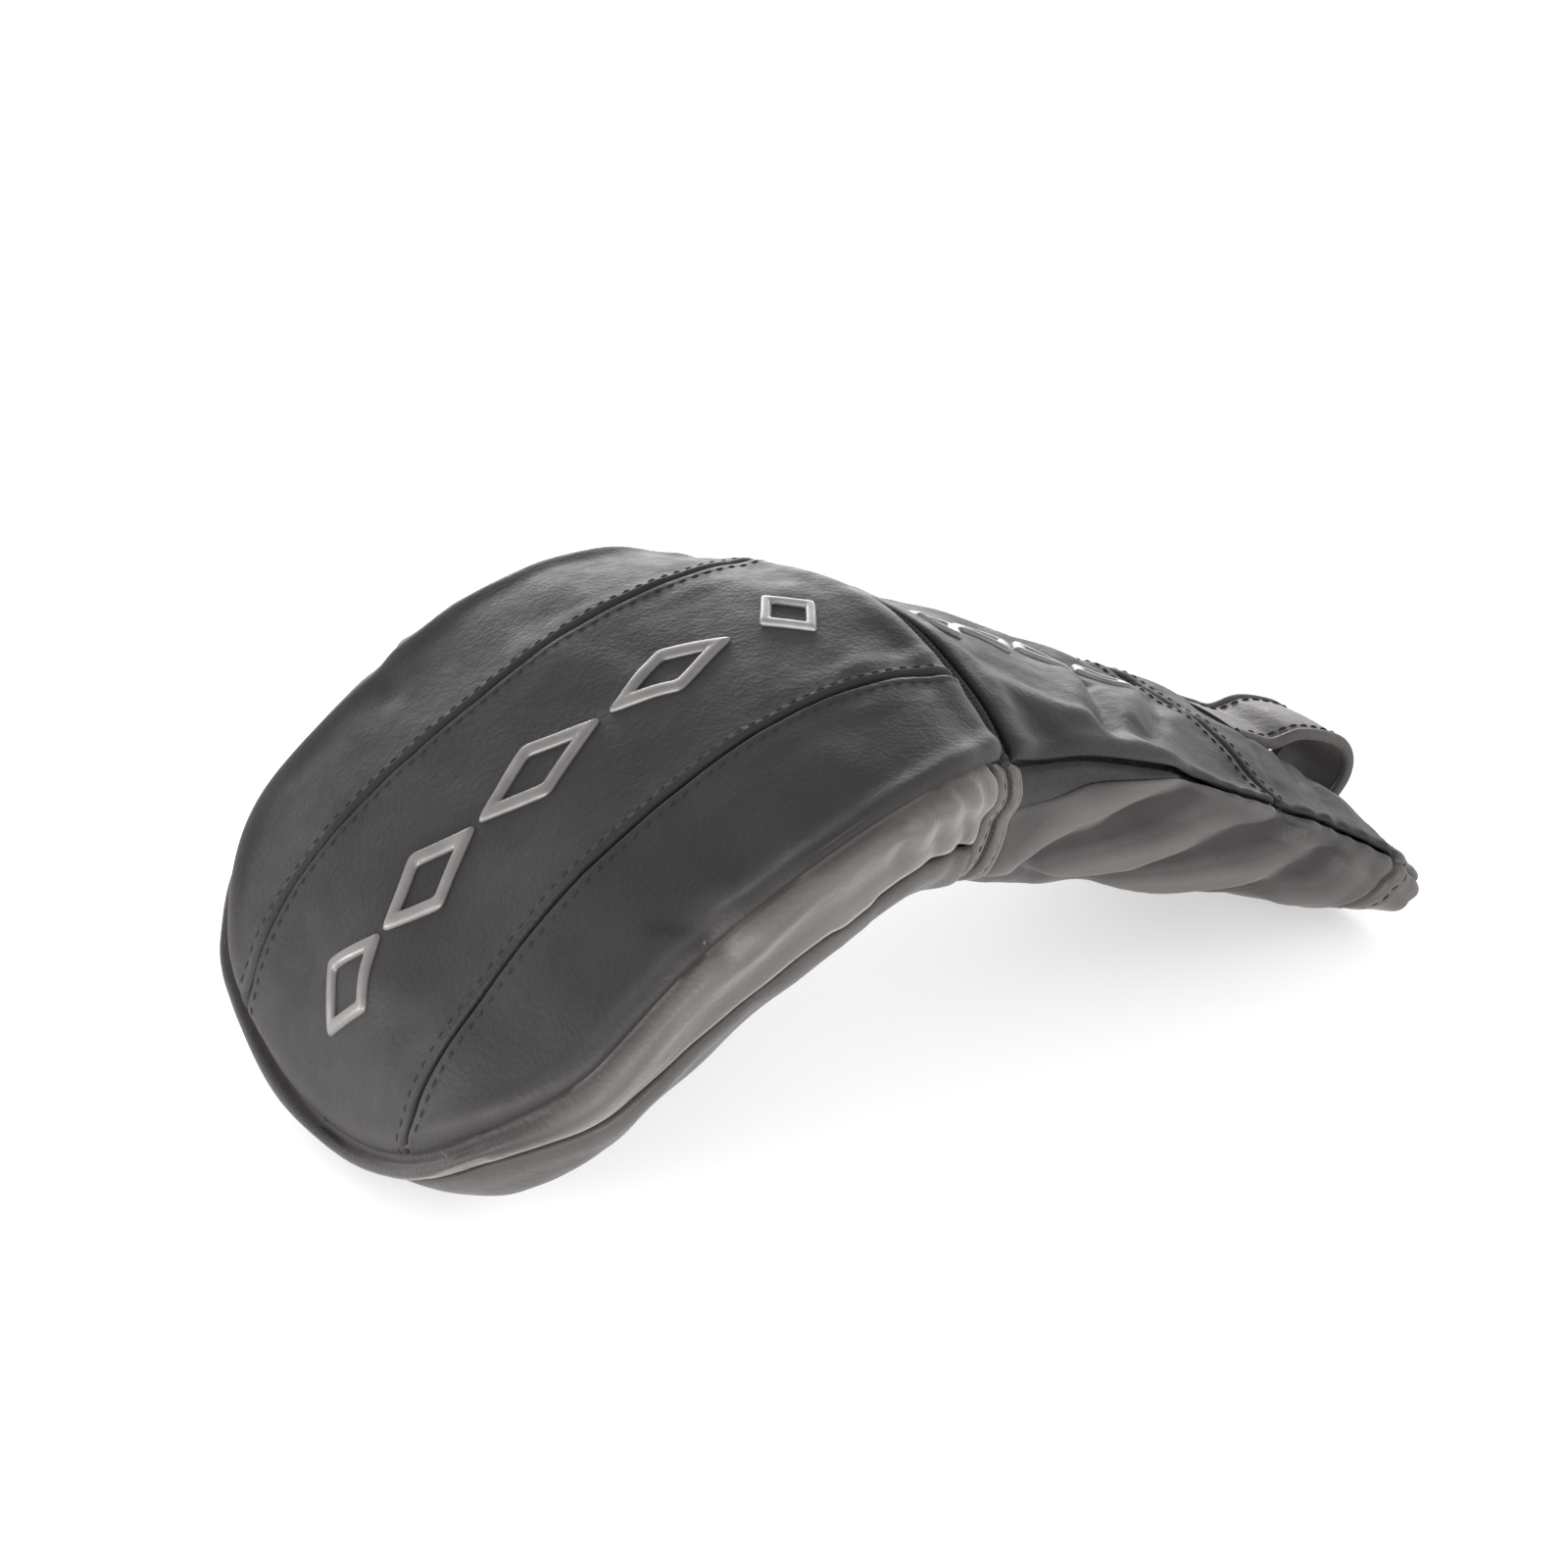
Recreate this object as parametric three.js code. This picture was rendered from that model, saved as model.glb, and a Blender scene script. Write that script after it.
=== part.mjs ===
// Padded head cover for a golf driver: a domed head pocket, an elastic throat,
// a drooping neck sleeve and a pull tab. Millimetres, +Z up, toe towards -X.
import * as THREE from "three";

// ---- driving dimensions ----
const PANEL = 2.0;            // thickness of an outer leather panel
const GAP = 0.36;             // clearance left between neighbouring pieces
const LAYER = 0.9;            // clearance between the crown panels and their foam
const LOOSE = 1.9;            // clearance between a panel and the loose lining
const NOSE = 70;              // length of the rounded toe, measured along the crown
const HEEL_S = 186;           // station where the head panels end
const NECK_S = 198;           // station where the neck panels start
const CUFF_S = 284;           // cross seam between neck panel and cuff
const HEM_S = 326;            // start of the mouth hem
const END_S = 338;            // end of the mouth hem
const LOWER = 0.96;           // width below the gusset over width at the rim
const BULGE = 3.0;            // how far the gusset swells outwards
const TOE_LIP = 1.8;          // extra swelling of the rolled edge round the toe
const THROAT_LAG = 8;         // how far the throat runs back at the sides
const DOME = 2.2;             // exponent of the crown's cross curve
const PAD = 3.0;              // thickness of the foam behind the crown
const LINING = 1.4;           // thickness of the fleece lining
const SHIFT_X = -147.57;      // brings the middle of the part's box to x = 0

// station, top x, top z, bottom x, bottom z, half width, rim drop, gusset height
const STATIONS = [
  [0, 10, 9, 17, -1, 60, 3, 7],
  [30, 13, 33, 32, -7, 64, 6, 9],
  [65, 31, 55, 50, 13, 73, 7, 14],
  [100, 61, 76, 74, 28, 75, 6, 17],
  [132, 96, 92, 96, 38, 76, 7, 16],
  [163, 131, 98, 121, 42, 70, 10, 15],
  [185, 151, 96.5, 142, 38, 59, 16, 16],
  [197, 161, 91, 155, 34, 54, 15.5, 16],
  [228, 183, 80, 174, 28.5, 51, 11, 15],
  [250, 204, 69, 190, 23.5, 51, 9, 13],
  [275, 228, 56, 210, 17, 52, 9, 10],
  [300, 251, 42, 232, 8, 54, 8, 8],
  [325, 269, 27, 253, 0.2, 57, 6, 7],
  [338, 277, 17, 268, -0.4, 57, 5, 6],
];
// station, distance of the two crown seams from the centre line
const SEAMS = [
  [0, 34],
  [60, 36.5],
  [120, 34],
  [186, 36],
];
const MARKS = [
  [41, 33, 19],
  [73, 31, 19],
  [104, 31, 19],
  [135, 29, 18],
];                            // crown diamonds: station of centre, length, width
const BADGE = [163, 15, 22];
const NECK_MARKS = [
  [212, 17, 17],
  [230, 17, 17],
  [249, 17, 17],
  [268, 17, 17],
];
const STROKE = 3.4;           // width of the crown diamonds' outline
const NECK_STROKE = 2.4;
const RAISE = 1.0;            // how far a moulded mark stands off the panel

// ---- curves ----
function hermite(rows, column, s) {
  let k = 0;
  while (k < rows.length - 2 && s > rows[k + 1][0]) {
    k += 1;
  }
  const slope = (j) => {
    const a = Math.max(j - 1, 0);
    const b = Math.min(j + 1, rows.length - 1);
    const step = (i) => (rows[i + 1][column] - rows[i][column]) / (rows[i + 1][0] - rows[i][0]);
    if (a === j) return step(0);
    if (b === j) return step(j - 1);
    const before = rows[j][0] - rows[a][0];
    const after = rows[b][0] - rows[j][0];
    return (step(j) * before + step(j - 1) * after) / (before + after);
  };
  const h = rows[k + 1][0] - rows[k][0];
  const t = (s - rows[k][0]) / h;
  if (t < 0) return rows[k][column] + slope(k) * t * h;
  const t2 = t * t;
  const t3 = t2 * t;
  return (2 * t3 - 3 * t2 + 1) * rows[k][column] + (t3 - 2 * t2 + t) * h * slope(k)
    + (3 * t2 - 2 * t3) * rows[k + 1][column] + (t3 - t2) * h * slope(k + 1);
}

const HALF_PI = Math.PI / 2;

// u runs along the cover: a quarter turn round the toe, then straight on
function uOf(s) {
  return s < NOSE ? Math.acos(1 - s / NOSE) : HALF_PI + (s - NOSE) / NOSE;
}

function stationOf(u, inset) {
  return u < HALF_PI ? inset + (NOSE - inset) * (1 - Math.cos(u)) : NOSE + NOSE * (u - HALF_PI);
}

// towards the sides the throat lies further back than on the centre line
function throatLag(s, across) {
  const rise = THREE.MathUtils.smoothstep(s, 140, HEEL_S);
  const fall = THREE.MathUtils.smoothstep(s, NECK_S, 250);
  return s - THROAT_LAG * rise * (1 - fall) * across ** 2;
}

// c runs round the section: 0 top centre, 1 rim, 2 gusset's lower edge, 3 bottom centre,
// positive on the +Y side; inset is the depth below the outer surface
function skin(u, c, inset) {
  const side = u < 0 ? -Math.sign(c) : Math.sign(c);
  const along = Math.abs(u);
  const round = Math.sin(Math.min(along, HALF_PI));
  const girth = Math.abs(c);
  const ahead = Math.cos(Math.min(along, HALF_PI));
  const swell = girth > 1 && girth < 2 ? (BULGE + TOE_LIP * ahead) * Math.sin(Math.PI * (girth - 1)) : 0;
  const s = throatLag(stationOf(along, inset), Math.min(girth, 1));
  const at = (column) => hermite(STATIONS, column, s);
  const top = new THREE.Vector2(at(1), at(2));
  const down = new THREE.Vector2(at(3), at(4)).sub(top);
  const height = down.length();
  down.normalize();
  const width = (at(5) - inset) * round;
  const drop = at(6) * round ** 1.3;
  const gusset = at(7);
  let y = 0;
  let e = 0;
  if (girth <= 1) {
    y = width * girth;
    e = drop * girth ** DOME + inset;
  } else if (girth <= 2) {
    const t = girth - 1;
    y = width * (1 + (LOWER - 1) * t) + swell * round;
    e = drop + gusset * t + inset * (1 - 1.3 * t);
  } else {
    const a = (girth - 2) * HALF_PI;
    y = width * LOWER * Math.max(Math.cos(a), 0) ** 0.8;
    e = drop + gusset + (height - drop - gusset) * round * Math.sin(a);
    e -= inset * (0.3 + 0.7 * Math.sin(a));
  }
  const p = top.addScaledVector(down, e);
  // the toe and the mouth lie flat on the surface the cover stands on
  return new THREE.Vector3(p.x - swell * ahead + SHIFT_X, side * y, Math.max(p.y, inset, 0));
}

// ---- solids ----
const cover = new THREE.Group();
cover.name = "driver_head_cover";

function addMesh(name, positions, triangles, colour, roughness) {
  let volume = 0;
  for (let k = 0; k < triangles.length; k += 3) {
    const [a, b, c] = [0, 1, 2].map((j) => positions[triangles[k + j]]);
    volume += a.dot(new THREE.Vector3().crossVectors(b, c));
  }
  if (volume < 0) triangles.reverse();
  const geometry = new THREE.BufferGeometry();
  geometry.setAttribute("position", new THREE.Float32BufferAttribute(
    positions.flatMap((p) => [p.x, p.y, p.z]), 3));
  geometry.setIndex(triangles);
  geometry.computeVertexNormals();
  const mesh = new THREE.Mesh(geometry, new THREE.MeshStandardMaterial({ color: colour, roughness }));
  mesh.name = name;
  cover.add(mesh);
}

// closed body from a grid of cells: point(i, j, k) with k = 0 outside and 1 inside;
// wrap joins the last column to the first
function addSheet(name, rows, columns, point, colour, roughness, wrap = false) {
  const positions = [];
  const triangles = [];
  const count = wrap ? columns : columns + 1;
  const index = (i, j, k) => (i * count + (j % count)) * 2 + k;
  for (let i = 0; i <= rows; i += 1) {
    for (let j = 0; j < count; j += 1) {
      positions.push(point(i / rows, j / columns, 0), point(i / rows, j / columns, 1));
    }
  }
  const quad = (a, b, c, d) => triangles.push(a, b, c, a, c, d);
  for (let i = 0; i < rows; i += 1) {
    for (let j = 0; j < columns; j += 1) {
      quad(index(i, j, 0), index(i + 1, j, 0), index(i + 1, j + 1, 0), index(i, j + 1, 0));
      quad(index(i, j, 1), index(i, j + 1, 1), index(i + 1, j + 1, 1), index(i + 1, j, 1));
    }
    if (!wrap) {
      quad(index(i, 0, 0), index(i, 0, 1), index(i + 1, 0, 1), index(i + 1, 0, 0));
      quad(index(i, columns, 0), index(i + 1, columns, 0), index(i + 1, columns, 1), index(i, columns, 1));
    }
  }
  for (let j = 0; j < columns; j += 1) {
    quad(index(0, j, 0), index(0, j + 1, 0), index(0, j + 1, 1), index(0, j, 1));
    quad(index(rows, j, 0), index(rows, j, 1), index(rows, j + 1, 1), index(rows, j + 1, 0));
  }
  addMesh(name, positions, triangles, colour, roughness);
}

const mix = (a, b, t) => a + (b - a) * t;
const rimWidth = (u) => hermite(STATIONS, 5, stationOf(u, 0)) * Math.sin(Math.min(u, HALF_PI));
const seamAt = (u) => hermite(SEAMS, 1, stationOf(u, 0));
const trim = (u) => GAP / 2 / rimWidth(u);

const LEATHER = 0x3c3a39;
const LEATHER_UNDER = 0x302e2d;
const FELT = 0x2a2828;
const ELASTIC = 0x232222;
const FLEECE = 0x4a4644;
const FOAM = 0x6b665f;
const METALLIC = 0x85807d;
const THREAD = 0x1d1c1c;

// a patch between stations s0 and s1 and girth lines from(u) and to(u)
function addPanel(name, s0, s1, rows, columns, from, to, depths, colour, roughness) {
  addSheet(name, rows, columns, (i, j, k) => {
    const u = mix(uOf(s0), uOf(s1), i);
    return skin(u, mix(from(u), to(u), j), depths[k]);
  }, colour, roughness);
}

// a complete tube of the section between two stations
function addTube(name, s0, s1, rows, columns, depths, colour, roughness) {
  addSheet(name, rows, columns, (i, j, k) => {
    const girth = j * 6;
    const u = mix(uOf(s0), uOf(s1), i);
    const c = girth <= 3 ? girth : girth - 6;
    return skin(u, c, typeof depths[k] === "function" ? depths[k](c) : depths[k]);
  }, colour, roughness, true);
}

// ---- head ----
const centreEdge = (u) => Math.min((seamAt(u) - GAP / 2) / rimWidth(u), 1 - trim(u));
addPanel("crown_center_panel", 0.6, HEEL_S, 22, 8, (u) => -centreEdge(u), centreEdge,
  [0, PANEL], LEATHER, 0.55);
for (const [side, label] of [[1, "left"], [-1, "right"]]) {
  addPanel("crown_side_panel_" + label, 14, HEEL_S, 18, 5,
    (u) => side * Math.min((seamAt(u) + GAP / 2) / rimWidth(u), 1 - 6 * trim(u)),
    (u) => side * (1 - trim(u)), [0, PANEL], LEATHER, 0.55);
}
addSheet("gusset_band", 44, 4, (i, j, k) => {
  const u = mix(-uOf(HEEL_S), uOf(HEEL_S), i);
  return skin(u, mix(1.035, 1.965, j), [0, PANEL][k]);
}, LEATHER, 0.6);
// girth 2..4 runs under the section from one gusset to the other
const underGirth = (g) => (g <= 3 ? g : g - 6);
function addUnder(name, s0, s1, rows, columns, from, depths, colour) {
  addSheet(name, rows, columns, (i, j, k) => {
    const u = mix(uOf(s0), uOf(s1), i);
    return skin(u, underGirth(mix(from(u), 6 - from(u), j)), depths[k]);
  }, colour, 0.6);
}
addUnder("under_panel", 3, HEEL_S, 20, 12, () => 2.012, [0, PANEL], LEATHER_UNDER);
addPanel("crown_padding", 22, HEEL_S - 6, 14, 8, () => -0.95, () => 0.95,
  [PANEL + LAYER, PANEL + LAYER + PAD], FOAM, 0.9);

const liningTop = (c) => {
  const t = THREE.MathUtils.smoothstep(Math.abs(c), 1.0, 1.5);
  return mix(PANEL + LAYER + PAD + LAYER, PANEL + LOOSE, t);
};
addSheet("head_lining", 15, 30, (i, j, k) => {
  const inner = k === 1;
  const first = uOf(inner ? 31 : 25);
  const cap = i === 0;
  const u = mix(first, uOf(HEEL_S - 3), Math.max(i * 15 - 1, 0) / 14);
  const girth = j * 6;
  const c = girth <= 3 ? girth : girth - 6;
  const p = skin(u, c, liningTop(c) + (inner ? LINING : 0));
  if (!cap) return p;
  const middle = skin(u, 0, 0).add(skin(u, 3, 0)).multiplyScalar(0.5);
  return p.lerp(middle, 0.75);
}, FLEECE, 0.95, true);
addTube("throat_hem_head", HEEL_S + GAP, HEEL_S + 3.6, 1, 30, [-0.5, PANEL + 0.6], LEATHER, 0.6);

// ---- throat ----
addTube("elastic_ring", HEEL_S + 3.6 + GAP, NECK_S - 3.6 - GAP, 2, 30, [0.7, 2.3], ELASTIC, 0.95);

// ---- neck ----
addTube("throat_hem_neck", NECK_S - 3.6, NECK_S - GAP, 1, 30, [-0.5, PANEL + 0.6], LEATHER, 0.6);
addPanel("neck_top_panel", NECK_S, CUFF_S - GAP, 10, 8, (u) => trim(u) - 1, (u) => 1 - trim(u),
  [0, PANEL], LEATHER, 0.55);
const goreEnd = (u) => 1 + Math.max(0.08, 0.85 * (1 - (stationOf(u, 0) - NECK_S) / 62));
const GORE_S = 252;
for (const [side, label] of [[1, "left"], [-1, "right"]]) {
  addPanel("stretch_gore_" + label, NECK_S, GORE_S, 8, 3, () => side * 1.03,
    (u) => side * (goreEnd(u) - 0.02), [0.3, PANEL], FELT, 0.95);
}
addUnder("neck_under_panel", NECK_S, HEM_S - GAP, 16, 18,
  (u) => (stationOf(u, 0) < GORE_S + 8 ? goreEnd(u) + 0.02 : 1.04), [0, PANEL], LEATHER_UNDER);
addPanel("cuff_panel", CUFF_S, HEM_S - GAP, 6, 8, (u) => trim(u) - 1, (u) => 1 - trim(u),
  [0, PANEL], LEATHER, 0.55);
addTube("mouth_hem", HEM_S, END_S, 2, 30, [-0.4, PANEL + 0.8], LEATHER, 0.55);
addTube("neck_lining", NECK_S + 2, HEM_S - 1, 10, 30, [PANEL + LOOSE, PANEL + LOOSE + LINING],
  FLEECE, 0.95);

// ---- moulded marks: outlined diamonds lying on the panels ----
function addDiamond(name, [s, length, width], stroke, lean) {
  const corners = [[-1, 0], [0, -1], [1, 0], [0, 1]];
  const steps = 6;
  const shrink = stroke / Math.hypot(length, width) * 2;
  addSheet(name, 1, 4 * steps, (i, j, k) => {
    const around = Math.round(j * 4 * steps) % (4 * steps);
    const corner = Math.floor(around / steps);
    const t = (around % steps) / steps;
    const a = corners[corner];
    const b = corners[(corner + 1) % 4];
    const scale = i === 0 ? 1 : 1 - 2.2 * shrink;
    const x = mix(a[0], b[0], t) * scale * length / 2;
    const y = mix(a[1], b[1], t) * scale * width / 2;
    const u = uOf(s + x + lean * y);
    return skin(u, y / rimWidth(u), [-GAP - RAISE, -GAP][k]);
  }, METALLIC, 0.35, true);
}
MARKS.forEach((mark, n) => addDiamond("crown_mark_" + (n + 1), mark, STROKE, 0.25));
addDiamond("heel_badge", BADGE, NECK_STROKE, 0);
NECK_MARKS.forEach((mark, n) => addDiamond("neck_mark_" + (n + 1), mark, NECK_STROKE, -0.3));

// ---- thread rows ----
const THREAD_W = 0.9;
function addThreadAlong(name, s0, s1, rows, offset) {
  addSheet(name, rows, 1, (i, j, k) => {
    const u = mix(uOf(s0), uOf(s1), i);
    const c = (offset(u) + (j - 0.5) * THREAD_W) / rimWidth(u);
    return skin(u, c, [-GAP - 0.5, -GAP][k]);
  }, THREAD, 0.8);
}
function addThreadAcross(name, s, c0, c1, columns) {
  addSheet(name, 1, columns, (i, j, k) => {
    const u = uOf(s + (i - 0.5) * THREAD_W);
    return skin(u, mix(c0, c1, j), [-GAP - 0.5, -GAP][k]);
  }, THREAD, 0.8);
}
for (const [side, label] of [[1, "left"], [-1, "right"]]) {
  addThreadAlong("seam_thread_" + label + "_inner", 22, HEEL_S - 2, 22,
    (u) => side * (seamAt(u) - 3.2));
  addThreadAlong("seam_thread_" + label + "_outer", 30, HEEL_S - 2, 22,
    (u) => side * (seamAt(u) + 3.2));
}
addThreadAcross("cross_seam_thread_upper", CUFF_S - 3.2, -0.94, 0.94, 10);
addThreadAcross("cross_seam_thread_lower", CUFF_S + 3.2, -0.94, 0.94, 10);

// ---- pull tab: a strap folded into a loop beyond the mouth ----
const TAB_LOW_Y = -14.5;
const TAB_HIGH_Y = 6.5;
const TAB_THICK = 1.8;
const TAB_PATH = [
  [261.5, 38],
  [269.5, 37.5],
  [277.5, 35],
  [284.5, 31],
  [287.5, 25.5],
  [286.5, 20],
  [282.5, 15.5],
];
function addStrap(name, y0, y1, depths, colour) {
  const curve = new THREE.CatmullRomCurve3(TAB_PATH.map(([x, z]) => new THREE.Vector3(x, 0, z)));
  addSheet(name, 18, 1, (i, j, k) => {
    const p = curve.getPoint(i);
    const t = curve.getTangent(i);
    const normal = new THREE.Vector3(-t.z, 0, t.x);
    p.addScaledVector(normal, depths[k]);
    return new THREE.Vector3(p.x + SHIFT_X, mix(y0, y1, j), p.z);
  }, colour, 0.6);
}
addStrap("pull_tab_strap", TAB_LOW_Y, TAB_HIGH_Y, [0, -TAB_THICK], LEATHER);
addStrap("pull_tab_binding_left", TAB_HIGH_Y + GAP, TAB_HIGH_Y + 2.2, [0.4, -TAB_THICK - 0.4],
  LEATHER_UNDER);
addStrap("pull_tab_binding_right", TAB_LOW_Y - 2.2, TAB_LOW_Y - GAP, [0.4, -TAB_THICK - 0.4],
  LEATHER_UNDER);

export default cover;
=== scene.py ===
"""Golf driver head cover: panelled head pocket, elastic throat, creased neck sleeve, pull tab."""
import math
import bpy
import numpy as np
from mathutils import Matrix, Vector


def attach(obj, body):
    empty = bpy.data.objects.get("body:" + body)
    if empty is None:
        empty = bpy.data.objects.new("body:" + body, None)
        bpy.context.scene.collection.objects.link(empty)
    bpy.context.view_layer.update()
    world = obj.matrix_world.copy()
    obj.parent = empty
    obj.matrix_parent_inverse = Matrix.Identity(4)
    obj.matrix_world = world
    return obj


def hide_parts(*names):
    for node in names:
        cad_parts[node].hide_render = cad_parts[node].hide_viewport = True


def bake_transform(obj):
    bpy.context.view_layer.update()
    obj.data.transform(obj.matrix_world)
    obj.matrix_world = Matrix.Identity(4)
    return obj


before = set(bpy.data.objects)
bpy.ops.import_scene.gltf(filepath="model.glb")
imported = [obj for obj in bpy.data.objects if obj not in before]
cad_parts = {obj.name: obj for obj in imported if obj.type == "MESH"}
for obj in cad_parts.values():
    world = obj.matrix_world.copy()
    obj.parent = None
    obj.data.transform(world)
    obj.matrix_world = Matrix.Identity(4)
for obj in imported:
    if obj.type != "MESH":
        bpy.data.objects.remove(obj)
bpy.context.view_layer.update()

# ---------------- the cover's form, millimetres
HALF_PI = math.pi / 2
NOSE = 70.0
HEEL_S = 186.0
NECK_S = 198.0
GORE_S = 252.0
CUFF_S = 284.0
HEM_S = 326.0
MOUTH_S = HEM_S + 0.15
END_S = 338.0
THROAT_S = 192.0
LOWER = 0.96                  # width at the gusset's lower edge, as a share of the rim's
BULGE = 3.0
TOE_LIP = 1.8
THROAT_LAG = 8.0
DOME = 2.2
RIM_ROUND = 4.5
LOW_ROUND = 9.0
FLOOR_CLEAR = 0.05
SHIFT_X = -147.57             # the stations start at the toe, the frame at the middle
MM = 0.001
# station, top x and z, bottom x and z, half width, rim drop, gusset height
STATIONS = np.array([
    [0, 10, 9, 17, -1, 60, 3, 7],
    [30, 13, 33, 32, -7, 64, 6, 9],
    [65, 31, 55, 50, 13, 73, 7, 14],
    [100, 61, 76, 74, 28, 75, 6, 17],
    [132, 96, 92, 96, 38, 76, 7, 16],
    [163, 131, 98, 121, 42, 70, 10, 15],
    [185, 151, 96.5, 142, 38, 59, 16, 16],
    [197, 161, 91, 155, 34, 54, 15.5, 16],
    [228, 183, 80, 174, 28.5, 51, 11, 15],
    [250, 204, 69, 190, 23.5, 51, 9, 13],
    [275, 228, 56, 210, 17, 52, 9, 10],
    [300, 251, 42, 232, 8, 54, 8, 8],
    [325, 269, 27, 253, 0.2, 57, 6, 7],
    [338, 277, 17, 268, -0.4, 57, 5, 6],
])
SEAM_ROW = 2.8                # a stitch row's distance from its seam
# station, distance of a crown seam from the centre line
SEAMS = np.array([[0, 34], [60, 36.5], [120, 34], [186, 36.0]])


def hermite(rows, column, s):
    """One column of a station table as a smooth function of the station."""
    xs, ys = rows[:, 0], rows[:, column]
    gap = np.diff(xs)
    rate = np.diff(ys) / gap
    slope = np.empty_like(ys)
    slope[0], slope[-1] = rate[0], rate[-1]
    slope[1:-1] = (rate[1:] * gap[:-1] + rate[:-1] * gap[1:]) / (gap[1:] + gap[:-1])
    k = np.clip(np.searchsorted(xs, s, side="right") - 1, 0, len(xs) - 2)
    h = gap[k]
    t = (s - xs[k]) / h
    t2 = t * t
    t3 = t2 * t
    inside = ((2 * t3 - 3 * t2 + 1) * ys[k] + (t3 - 2 * t2 + t) * h * slope[k]
              + (3 * t2 - 2 * t3) * ys[k + 1] + (t3 - t2) * h * slope[k + 1])
    return np.where(t < 0, ys[k] + slope[k] * t * h, inside)


def u_of(s):
    """Angle round the toe's nose up to a quarter turn, then arc length in units of the nose."""
    s = np.asarray(s, float)
    return np.where(s < NOSE, np.arccos(np.clip(1 - s / NOSE, -1, 1)), HALF_PI + (s - NOSE) / NOSE)


def s_of(u, inset=0.0):
    u = np.abs(np.asarray(u, float))
    return np.where(u < HALF_PI, inset + (NOSE - inset) * (1 - np.cos(u)), NOSE + NOSE * (u - HALF_PI))


def smooth(x, a, b):
    t = np.clip((x - a) / (b - a), 0, 1)
    return t * t * (3 - 2 * t)


def bell(x, width):
    return np.exp(-(x / width) ** 2)


def skin(u, c, inset=0.0):
    """The plain loft; c is 0 at the top centre, 1 at the rim, 2 under the gusset, 3 below."""
    girth = np.abs(c)
    around = np.minimum(u, HALF_PI)
    arc, ahead = np.sin(around), np.cos(around)
    on_gusset = (girth > 1) & (girth < 2)
    s = s_of(u, inset)
    bulge = BULGE * (1 - 0.75 * smooth(s, HEEL_S, 230)) + TOE_LIP * ahead
    swell = np.where(on_gusset, bulge * np.sin(np.pi * (girth - 1)) ** 2, 0)
    lag = THROAT_LAG * smooth(s, 140, HEEL_S) * (1 - smooth(s, NECK_S, 250))
    s = s - lag * np.minimum(girth, 1) ** 2
    top_x, top_z, low_x, low_z, width, drop, gusset = [hermite(STATIONS, k, s) for k in range(1, 8)]
    down_x, down_z = low_x - top_x, low_z - top_z
    height = np.hypot(down_x, down_z)
    width = (width - inset) * arc
    drop = drop * arc ** 1.3
    a = np.clip(girth - 2, 0, 1) * HALF_PI
    t = np.clip(girth - 1, 0, 1)
    under = width * LOWER * np.maximum(np.cos(a), 0) ** 0.8
    beside = width * (1 + (LOWER - 1) * t) + swell * arc
    y = np.where(girth <= 1, width * girth, np.where(girth <= 2, beside, under))
    low = drop + gusset + (height - drop - gusset) * arc * np.sin(a)
    low = low - inset * (0.3 + 0.7 * np.sin(a))
    e = np.where(girth <= 1, drop * girth ** DOME + inset,
                 np.where(girth <= 2, drop + gusset * t + inset * (1 - 1.3 * t), low))
    x = top_x + down_x / height * e - swell * ahead + SHIFT_X
    z = np.maximum(top_z + down_z / height * e, inset)
    return np.stack([x, np.sign(c) * y, z], -1)


def rim_width(u):
    return hermite(STATIONS, 5, s_of(u)) * np.sin(np.minimum(np.abs(u), HALF_PI))


def seam_at(u):
    return hermite(SEAMS, 1, s_of(u))


def gore_end(u):
    return 1 + np.maximum(0.08, 0.85 * (1 - (s_of(u) - NECK_S) / 62))


def low_edge(u):
    """Where the gusset ends and the panel below starts."""
    return 2 + 0.11 * smooth(s_of(u), 40, 130)


# ---------------- table of the finished surface
ROWS = 420
HALF = 330
TIP_ROWS = 24
UNDER_TIP_ROWS = 46
U_FIRST = 0.02
U_LAST = float(u_of(END_S))
u_line = np.linspace(U_FIRST, U_LAST, ROWS + 1)
c_half = np.linspace(0, 3, HALF + 1)
c_line = np.linspace(-3, 3, 2 * HALF + 1)


def unit(v):
    return v / np.maximum(np.linalg.norm(v, axis=-1, keepdims=True), 1e-9)


def outward(points):
    """Surface normals of a table of points whose columns run round the section."""
    along = np.gradient(points, axis=0)
    ring = np.concatenate([points[:, -2:-1], points, points[:, 1:2]], 1)
    normal = unit(np.cross(along, ring[:, 2:] - ring[:, :-2]))
    normal[:5] = normal[5]
    # at the toe the top and the underside shrink to a point, so they borrow the normals a little further on
    for rows, part in ((TIP_ROWS, np.abs(c_line) < 1), (UNDER_TIP_ROWS, np.abs(c_line) > 2)):
        normal[:rows, part] = normal[rows, part]
    return normal


def nearest(points, line):
    """Distance to the closest sample of a line, and which sample that is."""
    flat = points.reshape(-1, 3)
    best = np.empty(len(flat))
    index = np.empty(len(flat), int)
    for k in range(0, len(flat), 20000):
        part = flat[k:k + 20000]
        square = ((part ** 2).sum(1)[:, None] + (line ** 2).sum(1)[None] - 2 * part @ line.T)
        index[k:k + 20000] = square.argmin(1)
        best[k:k + 20000] = np.sqrt(np.maximum(square.min(1), 0))
    return best.reshape(points.shape[:-1]), index.reshape(points.shape[:-1])


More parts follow.
